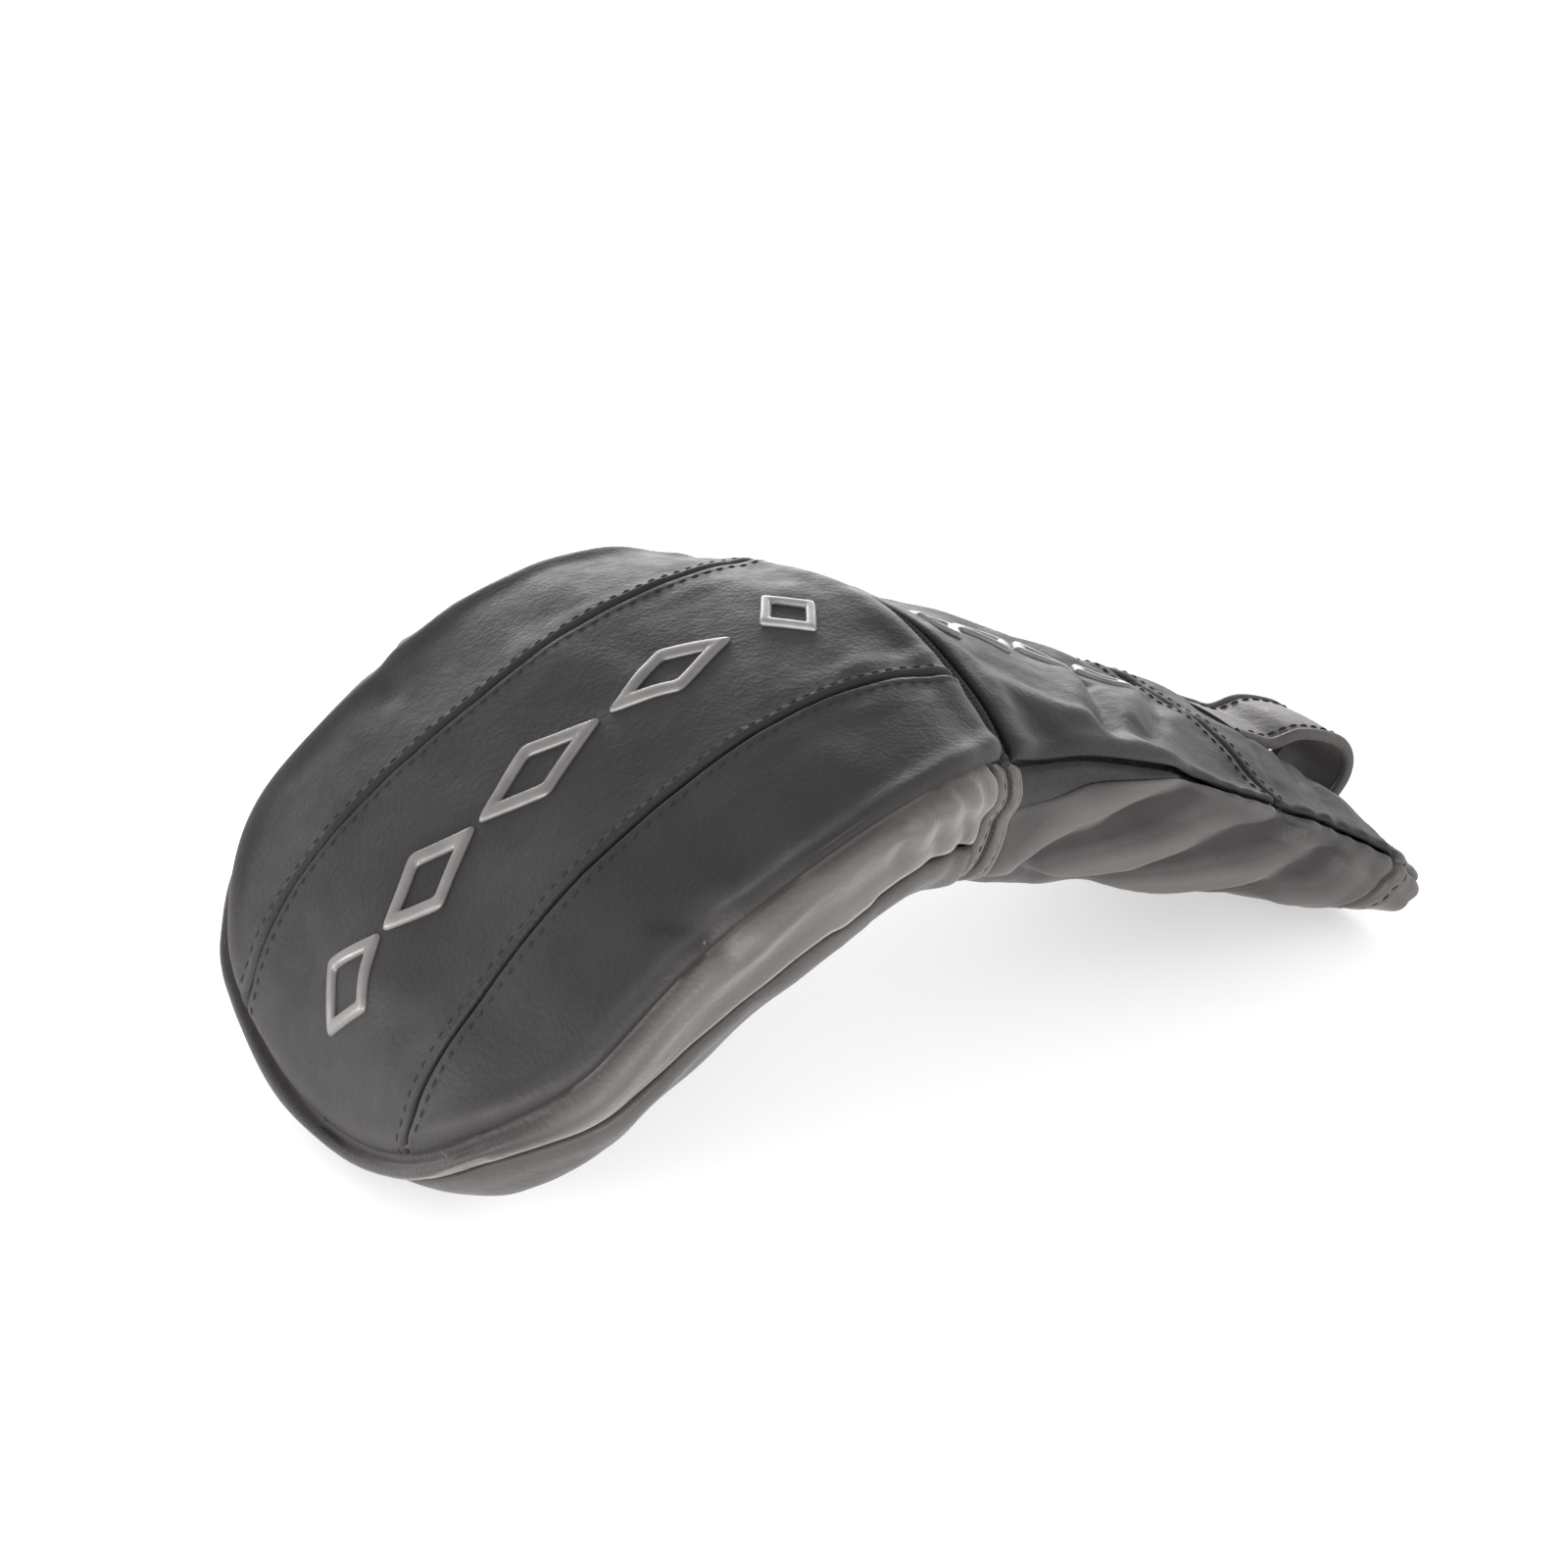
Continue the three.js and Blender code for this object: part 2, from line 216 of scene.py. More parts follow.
def round_edge(points, edge, reach):
    """Round the section's corner at c = edge; also gives each point's distance to that corner."""
    line = skin(u_line, edge)
    step = 0.004
    sides = []
    for c in (edge - 0.04, edge + 0.04):
        along = skin(u_line + step, c) - skin(u_line - step * 0.5, c)
        across = skin(u_line, c + step) - skin(u_line, c - step)
        sides.append(unit(np.cross(along, across)))
    for side in sides:
        side[:3] = side[3]
    bisector = unit(sides[0] + sides[1])
    span = skin(u_line, edge + 0.04) - skin(u_line, edge - 0.04)
    convex = np.sign(((sides[1] - sides[0]) * span).sum(-1))
    turn = convex * np.arccos(np.clip((sides[0] * sides[1]).sum(-1), -1, 1))
    away, index = nearest(points, line)
    pull = reach / 2 * np.sin(turn / 2)[index] * np.clip(1 - away / reach, 0, 1) ** 2
    return points - bisector[index] * pull[..., None], away


grid_u, grid_c = np.meshgrid(u_line, c_half, indexing="ij")
half = skin(grid_u, grid_c)
half, rim_away = round_edge(half, 1.0, RIM_ROUND)
half, _ = round_edge(half, 2.0, LOW_ROUND)
low_away, _ = nearest(half, skin(u_line, low_edge(u_line)))


def both_sides(values, mirror=False):
    """Widen a table of one side (c from 0 to 3) to both sides (c from -3 to 3)."""
    left = values[:, :0:-1].copy()
    if mirror:
        left[..., 1] *= -1
    return np.concatenate([left, values], 1)


plain = both_sides(half, True)
rim_away = both_sides(rim_away)
low_away = both_sides(low_away)
grid_u, grid_c = np.meshgrid(u_line, c_line, indexing="ij")
grid_s = s_of(grid_u)
rim_away = np.where(np.abs(grid_c) < 1, -rim_away, rim_away)
low_away = np.where(np.abs(grid_c) < low_edge(grid_u), -low_away, low_away)
steps = np.linalg.norm(np.diff(plain, axis=1), axis=-1)
girth = np.concatenate([np.zeros((ROWS + 1, 1)), np.cumsum(steps, 1)], 1)
girth -= girth[:, HALF:HALF + 1]


def between(table, i, j):
    """Bilinear reading of a table at fractional rows and columns."""
    i0, j0 = i.astype(int), j.astype(int)
    a, b = i - i0, j - j0
    if table.ndim == 3:
        a, b = a[..., None], b[..., None]
    return ((table[i0, j0] * (1 - b) + table[i0, j0 + 1] * b) * (1 - a)
            + (table[i0 + 1, j0] * (1 - b) + table[i0 + 1, j0 + 1] * b) * a)


def look(table, u, c):
    """A table's value at surface coordinates; c beyond 3 runs on below the cover."""
    u, c = np.broadcast_arrays(np.asarray(u, float), np.asarray(c, float))
    c = np.where(u < 0, -c, c)
    c = np.where(c > 3, c - 6, np.where(c < -3, c + 6, c))
    i = np.clip((np.abs(u) - U_FIRST) / (U_LAST - U_FIRST) * ROWS, 0, ROWS - 1e-6)
    j = np.clip((c + 3) / 6 * 2 * HALF, 0, 2 * HALF - 1e-6)
    return between(table, i, j)


def waves(points, length, seed):
    """Smooth deterministic noise with values near -1..1 and about the given wavelength."""
    random = np.random.default_rng(seed)
    total = np.zeros(points.shape[:-1])
    for _ in range(7):
        direction = unit(random.normal(size=3))
        total += np.sin(points @ direction * (2 * np.pi / length) * random.uniform(0.6, 1.5)
                        + random.uniform(0, 6.28))
    return total / 3.2


# ---------------- creases, seams and folds
# folds of one side of the cover: height, width, path of (station, girth); the other side has
# the same folds, a little shifted and weaker
FOLDS = [
    (-1.1, 2.8, [(93, 0.78), (98, 0.9), (100, 1.1), (101, 1.35)]),
    (0.6, 4.0, [(104, 0.82), (107, 1.05), (108, 1.4)]),
    (-0.9, 3.0, [(143, 1.1), (144, 1.4), (146, 2.0)]),
    (0.5, 3.5, [(147, 1.15), (150, 1.6), (152, 2.1)]),
    (-1.0, 2.6, [(150, 1.1), (156, 1.5), (161, 2.14)]),
    (0.6, 3.2, [(157, 1.15), (163, 1.7), (168, 2.2)]),
    (-0.9, 2.2, [(161, 1.1), (170, 1.6), (177, 2.2)]),
    (0.5, 2.6, [(168, 1.15), (175, 1.7), (181, 2.1)]),
    (-0.7, 2.0, [(173, 1.15), (180, 1.7), (184, 2.1)]),
    (3.2, 5.5, [(201, 2.3), (212, 2.1), (229, 1.93), (244, 1.4), (256, 1.05)]),
    (-2.2, 6.0, [(206, 2.45), (223, 2.25), (238, 2.12), (250, 1.6), (261, 1.15)]),
    (3.0, 5.5, [(220, 2.45), (240, 2.33), (260, 2.1), (276, 1.6), (284, 1.12)]),
    (-2.2, 6.0, [(236, 2.55), (256, 2.42), (272, 2.16), (286, 1.65), (293, 1.2)]),
    (2.4, 5.0, [(252, 2.6), (274, 2.42), (290, 2.15), (299, 1.6)]),
    (-1.6, 5.5, [(270, 2.65), (289, 2.45), (303, 2.15), (309, 1.6)]),
    (1.6, 6.0, [(284, 2.65), (302, 2.5), (314, 2.2), (318, 1.7)]),
    (1.8, 6.0, [(172, 2.3), (195, 2.3), (214, 2.35)]),
    (-1.6, 4.0, [(190, 2.5), (214, 2.45), (236, 2.62)]),
    (1.5, 5.0, [(205, 2.6), (228, 2.62), (250, 2.75)]),
    (1.2, 7.0, [(128, 2.1), (140, 2.12)]),
    (-2.8, 3.4, [(257, 0.12), (253, 0.25), (247, 0.5), (241, 0.7), (236, 0.88)]),
    (1.6, 6.0, [(247, 0.15), (242, 0.42), (234, 0.68), (228, 0.84)]),
    (-1.4, 3.4, [(281, 0.05), (268, 0.4), (256, 0.66), (246, 0.84)]),
    (1.1, 5.0, [(274, 0.1), (262, 0.42), (252, 0.66)]),
    (-1.4, 1.1, [(315, 0.1), (311, 0.35), (305, 0.62), (296, 1.0)]),
    (-1.1, 1.1, [(322, 0.3), (314, 0.52), (308, 0.76), (303, 1.0)]),
    (-1.1, 1.1, [(304, 0.08), (299, 0.38), (293, 0.7), (289, 0.97)]),
    (0.7, 6.0, [(95, 0.98), (123, 0.99)]),
]
FAR_SHIFT = 5.0
FAR_SHARE_HEAD = 0.5
FAR_SHARE_NECK = 0.85


def spline(path, count):
    """Points of a smooth curve through the path's points, and how far along each lies, 0 to 1."""
    path = np.array(path, float)
    t = np.linspace(0, len(path) - 1, count)
    k = np.minimum(t.astype(int), len(path) - 2)
    f = (t - k)[:, None]
    before, after = path[np.maximum(k - 1, 0)], path[np.minimum(k + 2, len(path) - 1)]
    a, b = path[k], path[k + 1]
    way = 0.5 * (2 * a + (b - before) * f + (2 * before - 5 * a + 4 * b - after) * f ** 2
                 + (3 * a - before - 3 * b + after) * f ** 3)
    return way, t / t[-1]


def fold(path, height, width):
    """A soft ridge, or a valley where height is negative, with a shallow skirt beside it."""
    way, place = spline(path, 60)
    line = look(plain, u_of(way[:, 0]), way[:, 1])
    reach = 5 * width
    low, high = line.min(0) - reach, line.max(0) + reach
    close = ((plain > low) & (plain < high)).all(-1)
    away, index = nearest(plain[close], line)
    place = place[index]
    taper = smooth(np.minimum(place, 1 - place), -0.06, 0.2)
    sharp = np.exp(-(away / width) ** (1.4 if height > 1.5 else 2.0))
    result = np.zeros(plain.shape[:2])
    result[close] = height * taper * (1.35 * sharp - 0.35 * bell(away, 2.2 * width))
    return result


def crease(distance, depth, width, puff, puff_at):
    """A sunk seam line with a slight swelling on both sides."""
    return puff * bell(np.abs(distance) - puff_at, puff_at * 0.6) - depth * bell(distance, width)


def overhang(away, puff, depth, skirt):
    """An upper panel's soft edge (away below 0) hanging over the panel that starts below it."""
    upper = puff * bell(away + 4.2, 3.0) - 0.7 * depth * bell(away, 1.1)
    return np.where(away < 0, upper, -(depth + 0.5) * bell(away, skirt))


def softened(values, passes):
    """A table blurred a little along and around the cover."""
    for _ in range(passes):
        ring = np.concatenate([values[:, -2:-1], values, values[:, 1:2]], 1)
        values = 0.25 * ring[:, :-2] + 0.5 * values + 0.25 * ring[:, 2:]
        ends = np.concatenate([values[:1], values, values[-1:]])
        values = 0.25 * ends[:-2] + 0.5 * values + 0.25 * ends[2:]
    return values


def quads(rows, columns, count=None):
    """Faces of a grid of points with count points in a row; closed round the row unless count is more."""
    count = count or columns
    i, j = np.meshgrid(np.arange(rows) * count, np.arange(columns), indexing="ij")
    n = (j + 1) % count
    return np.stack([i + j, i + count + j, i + count + n, i + n], -1).reshape(-1, 4)


def add(name, data):
    obj = bpy.data.objects.new(name, data)
    bpy.context.scene.collection.objects.link(obj)
    return obj


CLOTH_SCALE = 0.01            # millimetres to the cloth solver's metres, ten times life size
CLOTH_FRAMES = 22
CLOTH_FIRST_S = 5.0
CLOTH_LAST_S = 325.0
CLOTH_ROWS = 120
CLOTH_COLUMNS = 132
SWELL_CAP = 2.4
SINK_CAP = 1.3
TAUT_CROWN = 0.3              # shares of the cloth's offset that the padded head shows
TAUT_SIDE = 0.6
SLACK_HEAD = -0.006
SLACK_NECK = -0.05
TAB_HOLD = 19.0


def slack_skin():
    """Offset table from a cloth run: slightly oversized leather, held along the sewn lines."""
    s_rows = np.linspace(CLOTH_FIRST_S, CLOTH_LAST_S, CLOTH_ROWS)
    rows, columns = CLOTH_ROWS, CLOTH_COLUMNS
    u, c = np.meshgrid(u_of(s_rows), np.linspace(-3, 3, columns + 1)[:-1], indexing="ij")
    base = look(plain, u, c)
    faces = quads(rows - 1, columns)[:, [0, 3, 2, 1]]
    mesh = bpy.data.meshes.new("slack_skin")
    mesh.from_pydata((base.reshape(-1, 3) * CLOTH_SCALE).tolist(), [], faces.tolist())
    obj = add("slack_skin", mesh)
    s = s_of(u)
    sideways = np.abs(c) * rim_width(u)
    held = (np.abs(look(rim_away, u, c)) < 2.2) | (np.abs(s - THROAT_S) < 7) | (s < 9) | (s > 322)
    held |= (s < HEEL_S) & (np.abs(look(low_away, u, c)) < 1.6)
    held |= (s > 290) & (sideways < TAB_HOLD)
    held |= (s < HEEL_S) & (np.abs(sideways - seam_at(u)) < 1.5) & (np.abs(c) < 1)
    for name, weights in (("held", held.ravel() * 1.0), ("slack", smooth(s, THROAT_S, 205).ravel())):
        group = obj.vertex_groups.new(name=name)
        for index, weight in enumerate(weights):
            if weight > 0:
                group.add([index], float(weight), "REPLACE")
    settings = obj.modifiers.new("cloth", "CLOTH").settings
    settings.quality = 6
    settings.mass = 0.4
    settings.tension_stiffness = 20
    settings.compression_stiffness = 20
    settings.shear_stiffness = 8
    settings.bending_stiffness = 3.0
    settings.air_damping = 3
    settings.vertex_group_mass = "held"
    settings.vertex_group_shrink = "slack"
    settings.shrink_min = SLACK_HEAD
    settings.shrink_max = SLACK_NECK
    settings.use_pressure = True
    settings.uniform_pressure_force = 0.4
    settings.effector_weights.gravity = 0
    for number in range(1, CLOTH_FRAMES + 1):
        bpy.context.scene.frame_set(number)
    shaped = obj.evaluated_get(bpy.context.evaluated_depsgraph_get()).to_mesh()
    moved = np.empty(rows * columns * 3, np.float32)
    shaped.vertices.foreach_get("co", moved)
    moved = moved.reshape(rows, columns, 3) / CLOTH_SCALE
    bpy.data.objects.remove(obj)
    bpy.data.meshes.remove(mesh)
    bpy.context.scene.frame_set(1)
    offset = ((moved - base) * look(outward(plain), u, c)).sum(-1)
    share = np.where(np.abs(c) < 1, TAUT_CROWN, TAUT_SIDE)
    offset = np.nan_to_num(offset) * (share + (1 - share) * smooth(s, HEEL_S, 200))
    cap = np.where(offset < 0, SINK_CAP, SWELL_CAP)
    offset = cap * np.tanh(offset / cap)
    offset = np.concatenate([offset, offset[:, :1]], 1)
    row = np.clip((grid_s - CLOTH_FIRST_S) / (CLOTH_LAST_S - CLOTH_FIRST_S) * (rows - 1), 0, rows - 1.001)
    column = np.clip((grid_c + 3) / 6 * columns, 0, columns - 1e-6)
    return softened(between(offset, row, column), 10)


def surface_relief():
    """How far the finished surface stands out from the plain one, at every point of the table."""
    relief = np.zeros_like(grid_s)
    relief += slack_skin()
    above = np.abs(grid_c) < 1
    on_head = 1 - smooth(grid_s, HEEL_S, 190)
    on_neck = smooth(grid_s, 196, 200)
    toe = 1 - smooth(grid_s, 16, 52)
    sleeve = smooth(grid_s, 236, 262)
    relief += on_head * overhang(rim_away, 1.1, 1.3, 2.6)
    relief += on_neck * ((1 - sleeve) * overhang(rim_away, 0.9, 1.1, 2.0)
                         + sleeve * crease(rim_away, 0.9, 0.8, 0.25, 2.6))
    relief += on_head * toe * (0.8 * bell(rim_away - 2.4, 1.4) - 0.7 * bell(rim_away - 4.8, 0.9))
    relief += on_head * crease(low_away, 0.9, 1.0, 0.4, 4.5)
    seam_away = np.abs(grid_c) * rim_width(grid_u) - seam_at(grid_u)
    on_crown = on_head * above * smooth(-rim_away, 0.5, 3)
    relief += on_crown * crease(seam_away, 0.9, 0.75, 0.4, 2.0)
    relief -= on_crown * 0.3 * bell(np.abs(seam_away) - SEAM_ROW, 0.55)
    pucker = waves(plain, 11, 3) * bell(np.abs(seam_away) - 6, 7) * smooth(grid_s, 90, 170)
    relief += on_crown * 0.22 * pucker
    # the rolled edges that meet over the elastic, and the hems lower down
    heel_edge = 1.3 * bell(grid_s - 183.5, 5) - 2.4 * smooth(grid_s, 186.4, 189.4) * (grid_s < THROAT_S)
    neck_edge = 0.9 * bell(grid_s - 202, 4.5) - 1.8 * (1 - smooth(grid_s, 194.8, 198)) * (grid_s >= THROAT_S)
    beside = 0.5 * bell(grid_s - 182, 3)
    for edge, before, after in ((HEEL_S, 2.2, 1.5), (NECK_S, 1.2, 2.5)):
        beside -= 1.1 * smooth(grid_s, edge - before, edge) * (1 - smooth(grid_s, edge, edge + after))
    relief += np.where(above, heel_edge + neck_edge, beside)
    cross = crease(grid_s - CUFF_S, 0.9, 0.8, 0.45, 2.2)
    cross -= 0.3 * bell(np.abs(grid_s - CUFF_S) - SEAM_ROW, 0.55)
    relief += (np.abs(grid_c) < 1.02) * cross
    relief += crease(grid_s - HEM_S, 0.8, 1.1, 0.4, 3.5)
    # short puckers across the neck's side seams
    side_seam = smooth(grid_s, 250, 275) * bell(rim_away, 4.0)
    relief += side_seam * 0.28 * np.sin(grid_s * 2 * np.pi / 7.0 + 2.0 * waves(plain, 30, 8))
    # uneven padding, and the slack leather of the sleeve
    relief += 0.4 * waves(plain, 48, 1) + 0.1 * waves(plain, 19, 2)
    relief += on_neck * (0.4 * waves(plain, 34, 5) + 0.1 * waves(plain, 14, 6))
    below = smooth(np.abs(grid_c), 2.0, 2.4)
    relief += on_head * below * (0.9 * waves(plain, 38, 7) + 0.2 * waves(plain, 15, 9))
    folds = np.zeros_like(relief)
    for height, width, path in FOLDS:
        far = FAR_SHARE_HEAD if path[0][0] < HEEL_S else FAR_SHARE_NECK
        folds += fold([(s, -c) for s, c in path], height, width)
        folds += fold([(min(s + FAR_SHIFT, 332), c * 0.97) for s, c in path], height * far, width)
    relief += softened(folds, 3)
    relief *= 1 - 0.85 * bell(grid_s - THROAT_S, 6.5) * (~above)
    floor_soft = smooth(plain[..., 2], 0.0, 6.0)
    return np.where(relief < 0, relief, relief * (0.15 + 0.85 * floor_soft))


relief = surface_relief()
hollows = softened(np.minimum(relief, 0), 6)
surface = plain + outward(plain) * relief[..., None]
surface[..., 2] = np.maximum(surface[..., 2], FLOOR_CLEAR)
normals = outward(surface)


def at(u, c, depth=0.0):
    """Points of the finished surface, or depth millimetres below it."""
    point = look(surface, u, c)
    normal = unit(look(normals, u, c))
    return point - normal * np.asarray(depth, float)[..., None]


# ---------------- materials
class Shader:
    """A new material's nodes, with short ways to add the usual ones."""

    def __init__(self, name):
        self.material = bpy.data.materials.new(name)
        self.material.use_nodes = True
        self.nodes = self.material.node_tree.nodes
        self.links = self.material.node_tree.links
        self.bsdf = self.nodes["Principled BSDF"]
        self.place = self.nodes.new("ShaderNodeTexCoord").outputs["Object"]

    def texture(self, kind, **values):
        node = self.nodes.new(kind)
        for key, value in values.items():
            node.inputs[key].default_value = value
        self.links.new(self.place, node.inputs["Vector"])
        return node

    def noise(self, scale, detail=4.0, rough=0.55):
        return self.texture("ShaderNodeTexNoise", Scale=scale, Detail=detail, Roughness=rough).outputs["Fac"]

    def attribute(self, name):
        node = self.nodes.new("ShaderNodeAttribute")
        node.attribute_name = name
        return node.outputs["Fac"]

    def spread(self, value, low, high, to_low, to_high):
        remap = self.nodes.new("ShaderNodeMapRange")
        for key, number in (("From Min", low), ("From Max", high), ("To Min", to_low), ("To Max", to_high)):
            remap.inputs[key].default_value = number
        self.links.new(value, remap.inputs["Value"])
        return remap.outputs["Result"]

    def blend(self, factor, first, second):
        mix = self.nodes.new("ShaderNodeMix")
        mix.data_type = "RGBA"
        self.links.new(factor, mix.inputs["Factor"])
        for socket, value in ((mix.inputs[6], first), (mix.inputs[7], second)):
            if isinstance(value, tuple):
                socket.default_value = (*value, 1)
            else:
                self.links.new(value, socket)
        return mix.outputs[2]

    def bump(self, height, strength, distance, below=None):
        node = self.nodes.new("ShaderNodeBump")
        node.inputs["Strength"].default_value = strength
        node.inputs["Distance"].default_value = distance
        self.links.new(height, node.inputs["Height"])
        if below is not None:
            self.links.new(below, node.inputs["Normal"])
        return node.outputs["Normal"]

    def finish(self, colour, rough, normal, **values):
        """Join the three varying inputs and set the even ones; underscores stand for spaces."""
        for key, output in (("Base Color", colour), ("Roughness", rough), ("Normal", normal)):
            if output is not None:
                self.links.new(output, self.bsdf.inputs[key])
        for key, value in values.items():
            self.bsdf.inputs[key.replace("_", " ")].default_value = value
        return self.material


def leather(name, dark, light, worn, rough=0.56, sheen=0.04, grain=900.0, toe=None):
    """Fine pebbled leather: grain, soft mottling, paler where it stands proud, painted shade in seams and
    creases.
    """
    tree = Shader(name)
    colour = tree.blend(tree.spread(tree.noise(45, 6), 0.3, 0.7, 0, 1), dark, light)
    height = tree.attribute("relief")
    colour = tree.blend(tree.spread(height, 0.2, 2.2, 0, 0.75), colour, worn)
    # painted shade: where the relief sinks into seams, creases and fold valleys the colour darkens towards
    # 0.45 of the dark tone
    sunk = tree.spread(height, -0.4, -1.8, 0, 0.7)
    colour = tree.blend(sunk, colour, tuple(0.45 * v for v in dark))
    # painted light: the pale lit colour fades to the darker toe colour near the toe, by a share stored on the
    # mesh
    if toe is not None:
        colour = tree.blend(tree.attribute("painted_light_share"), toe, colour)
    cells = tree.texture("ShaderNodeTexVoronoi", Scale=grain)
    cells.feature = "SMOOTH_F1"
    cells.inputs["Smoothness"].default_value = 0.6
    normal = tree.bump(tree.noise(220, 5), 0.25, 0.0006)
    normal = tree.bump(cells.outputs["Distance"], 0.35, 0.00025, normal)
    normal = tree.bump(tree.noise(grain * 2.2, 3), 0.2, 0.0001, normal)
    uneven = tree.spread(tree.noise(160, 5), 0.3, 0.7, rough - 0.07, rough + 0.08)
    return tree.finish(colour, uneven, normal, Sheen_Weight=sheen, Sheen_Roughness=0.45,
                       Sheen_Tint=(0.95, 0.9, 0.88, 1), Specular_IOR_Level=0.26)


def cloth(name, dark, light, fibre, sheen, depth):
    """Brushed or piled fabric with short fibres and uneven nap."""
    tree = Shader(name)
    nap = tree.noise(fibre, 6, 0.7)
    patches = tree.noise(90, 3)
    colour = tree.blend(tree.spread(nap, 0.35, 0.65, 0, 1), dark, light)
    colour = tree.blend(tree.spread(patches, 0.5, 0.8, 0, 0.5), colour, tuple(1.5 * v for v in light))
    normal = tree.bump(nap, 0.8, depth, tree.bump(patches, 0.3, 0.001))
    return tree.finish(colour, tree.spread(nap, 0.3, 0.7, 0.86, 0.98), normal, Sheen_Weight=sheen,
                       Sheen_Roughness=0.6, Specular_IOR_Level=0.15)


def moulded(name, dark, light, rough, metal):
    """Moulded emblem with a gunmetal skin and fine sparkle grain."""
    tree = Shader(name)
    grain = tree.noise(420, 3)
    colour = tree.blend(tree.spread(tree.noise(120, 4), 0.3, 0.7, 0, 1), dark, light)
    return tree.finish(colour, tree.spread(grain, 0.3, 0.7, rough - 0.03, rough + 0.05),
                       tree.bump(grain, 0.06, 0.00003), Metallic=metal)


LEATHER = leather("charcoal_leather", (0.0153, 0.0143, 0.0139), (0.0223, 0.0208, 0.0203),
                  (0.0418, 0.0391, 0.0377))
# painted light: the gusset band and throat hems use the charcoal leather made about five times paler, as if
# lit by the low lamps and the floor
PAINTED_LIT_SIDE_LEATHER = leather("gusset_leather", (0.072, 0.0655, 0.0626), (0.1, 0.0915, 0.0874), (0.14, 0.129, 0.1245),
               0.5, 0.3, toe=(0.026, 0.0238, 0.023))
# painted light: the underside, the mouth hem with the tab's binding, and the strap get paler copies of the
# same charcoal leather, standing in for light from the floor and low lamps
PAINTED_LIT_UNDER_LEATHER = leather("under_leather", (0.0378, 0.0353, 0.034), (0.0588, 0.0549, 0.0532), (0.1092, 0.1029, 0.0994),
                0.5, 0.1)
PAINTED_LIT_HEM_LEATHER = leather("hem_leather", (0.055, 0.0505, 0.0484), (0.08, 0.074, 0.0712), (0.115, 0.1065, 0.103), 0.5, 0.2)
PAINTED_LIT_STRAP_LEATHER = leather("strap_leather", (0.0625, 0.0581, 0.0556), (0.1, 0.0931, 0.0894), (0.15, 0.14, 0.135),
                0.5, 0.2, 700.0)
FELT = cloth("stretch_felt", (0.018, 0.0165, 0.0165), (0.034, 0.032, 0.032), 1500, 0.06, 0.0005)
ELASTIC = cloth("ribbed_elastic", (0.013, 0.012, 0.012), (0.026, 0.0245, 0.0245), 1100, 0.05, 0.0003)
FLEECE = cloth("grey_fleece", (0.045, 0.041, 0.04), (0.09, 0.083, 0.08), 800, 0.2, 0.0012)
FOAM = cloth("laminated_foam", (0.16, 0.15, 0.135), (0.24, 0.23, 0.205), 600, 0.2, 0.0008)
MARK = moulded("gunmetal_mark", (0.13, 0.122, 0.119), (0.19, 0.18, 0.176), 0.36, 0.3)
BADGE_SKIN = moulded("polished_badge", (0.2, 0.195, 0.19), (0.3, 0.293, 0.287), 0.4, 0.5)
THREAD = cloth("bonded_thread", (0.012, 0.011, 0.011), (0.028, 0.026, 0.026), 2600, 0.05, 0.0002)


# ---------------- mesh building
# painted light of the gusset: none up to the first x, full from the second
DARK_TOE_X = (-131, -106)     # the gusset is dark up to the first and pale from the second


def make(name, points, faces, mat, fields=None):
    """A mesh object; fields is the relief at every point, which leather colours by, with painted shade where
    it sinks.
    """
    mesh = bpy.data.meshes.new(name)
    mesh.from_pydata((np.asarray(points) * MM).tolist(), [], faces)
    mesh.validate()
    if fields is not None:
        layer = mesh.attributes.new("relief", "FLOAT", "POINT")
        layer.data.foreach_set("value", np.asarray(fields, np.float32))
        # the share of the gusset's painted light along x, 0 at the toe and 1 past DARK_TOE_X
        layer = mesh.attributes.new("painted_light_share", "FLOAT", "POINT")
        place = np.asarray(points)
        layer.data.foreach_set("value", smooth(place[:, 0], *DARK_TOE_X).astype(np.float32))
    mesh.materials.append(mat)
    mesh.shade_smooth()
    return add(name, mesh)


def solid_faces(rows, columns, wrap):
    """Quads of a closed slab: the outer grid's points come first, then the inner grid's."""
    count = columns if wrap else columns + 1
    size = (rows + 1) * count
    outer = quads(rows, columns, count)
    parts = [outer, outer[:, ::-1] + size]
    k = np.arange(columns)
    m = (k + 1) % count
    parts.append(np.stack([k, m, m + size, k + size], -1))
    last = rows * count
    parts.append(np.stack([last + m, last + k, last + k + size, last + m + size], -1))
    if not wrap:
        r = np.arange(rows) * count
        parts.append(np.stack([r + count, r, r + size, r + count + size], -1))
        e = r + columns
        parts.append(np.stack([e, e + count, e + count + size, e + size], -1))
    return np.concatenate(parts)


def outward_faces(points, faces):
    """The same quads, all turned over if the closed shape they make is inside out."""
    a, b, c, d = (points[faces[:, k]] for k in range(4))
    volume = (a * np.cross(b, c)).sum() + (a * np.cross(c, d)).sum()
    return faces[:, ::-1] if volume < 0 else faces


def ticks(count, length, fine=1.6):
    """Even steps from 0 to 1 with a few closer ones at both ends for a rolled edge."""
    edge = np.array([0, 0.15, 0.45, 0.9]) * fine / length
    middle = np.linspace(edge[-1] + 0.7 * fine / length, 1 - edge[-1] - 0.7 * fine / length, count)
    return np.concatenate([edge, middle, 1 - edge[::-1]])


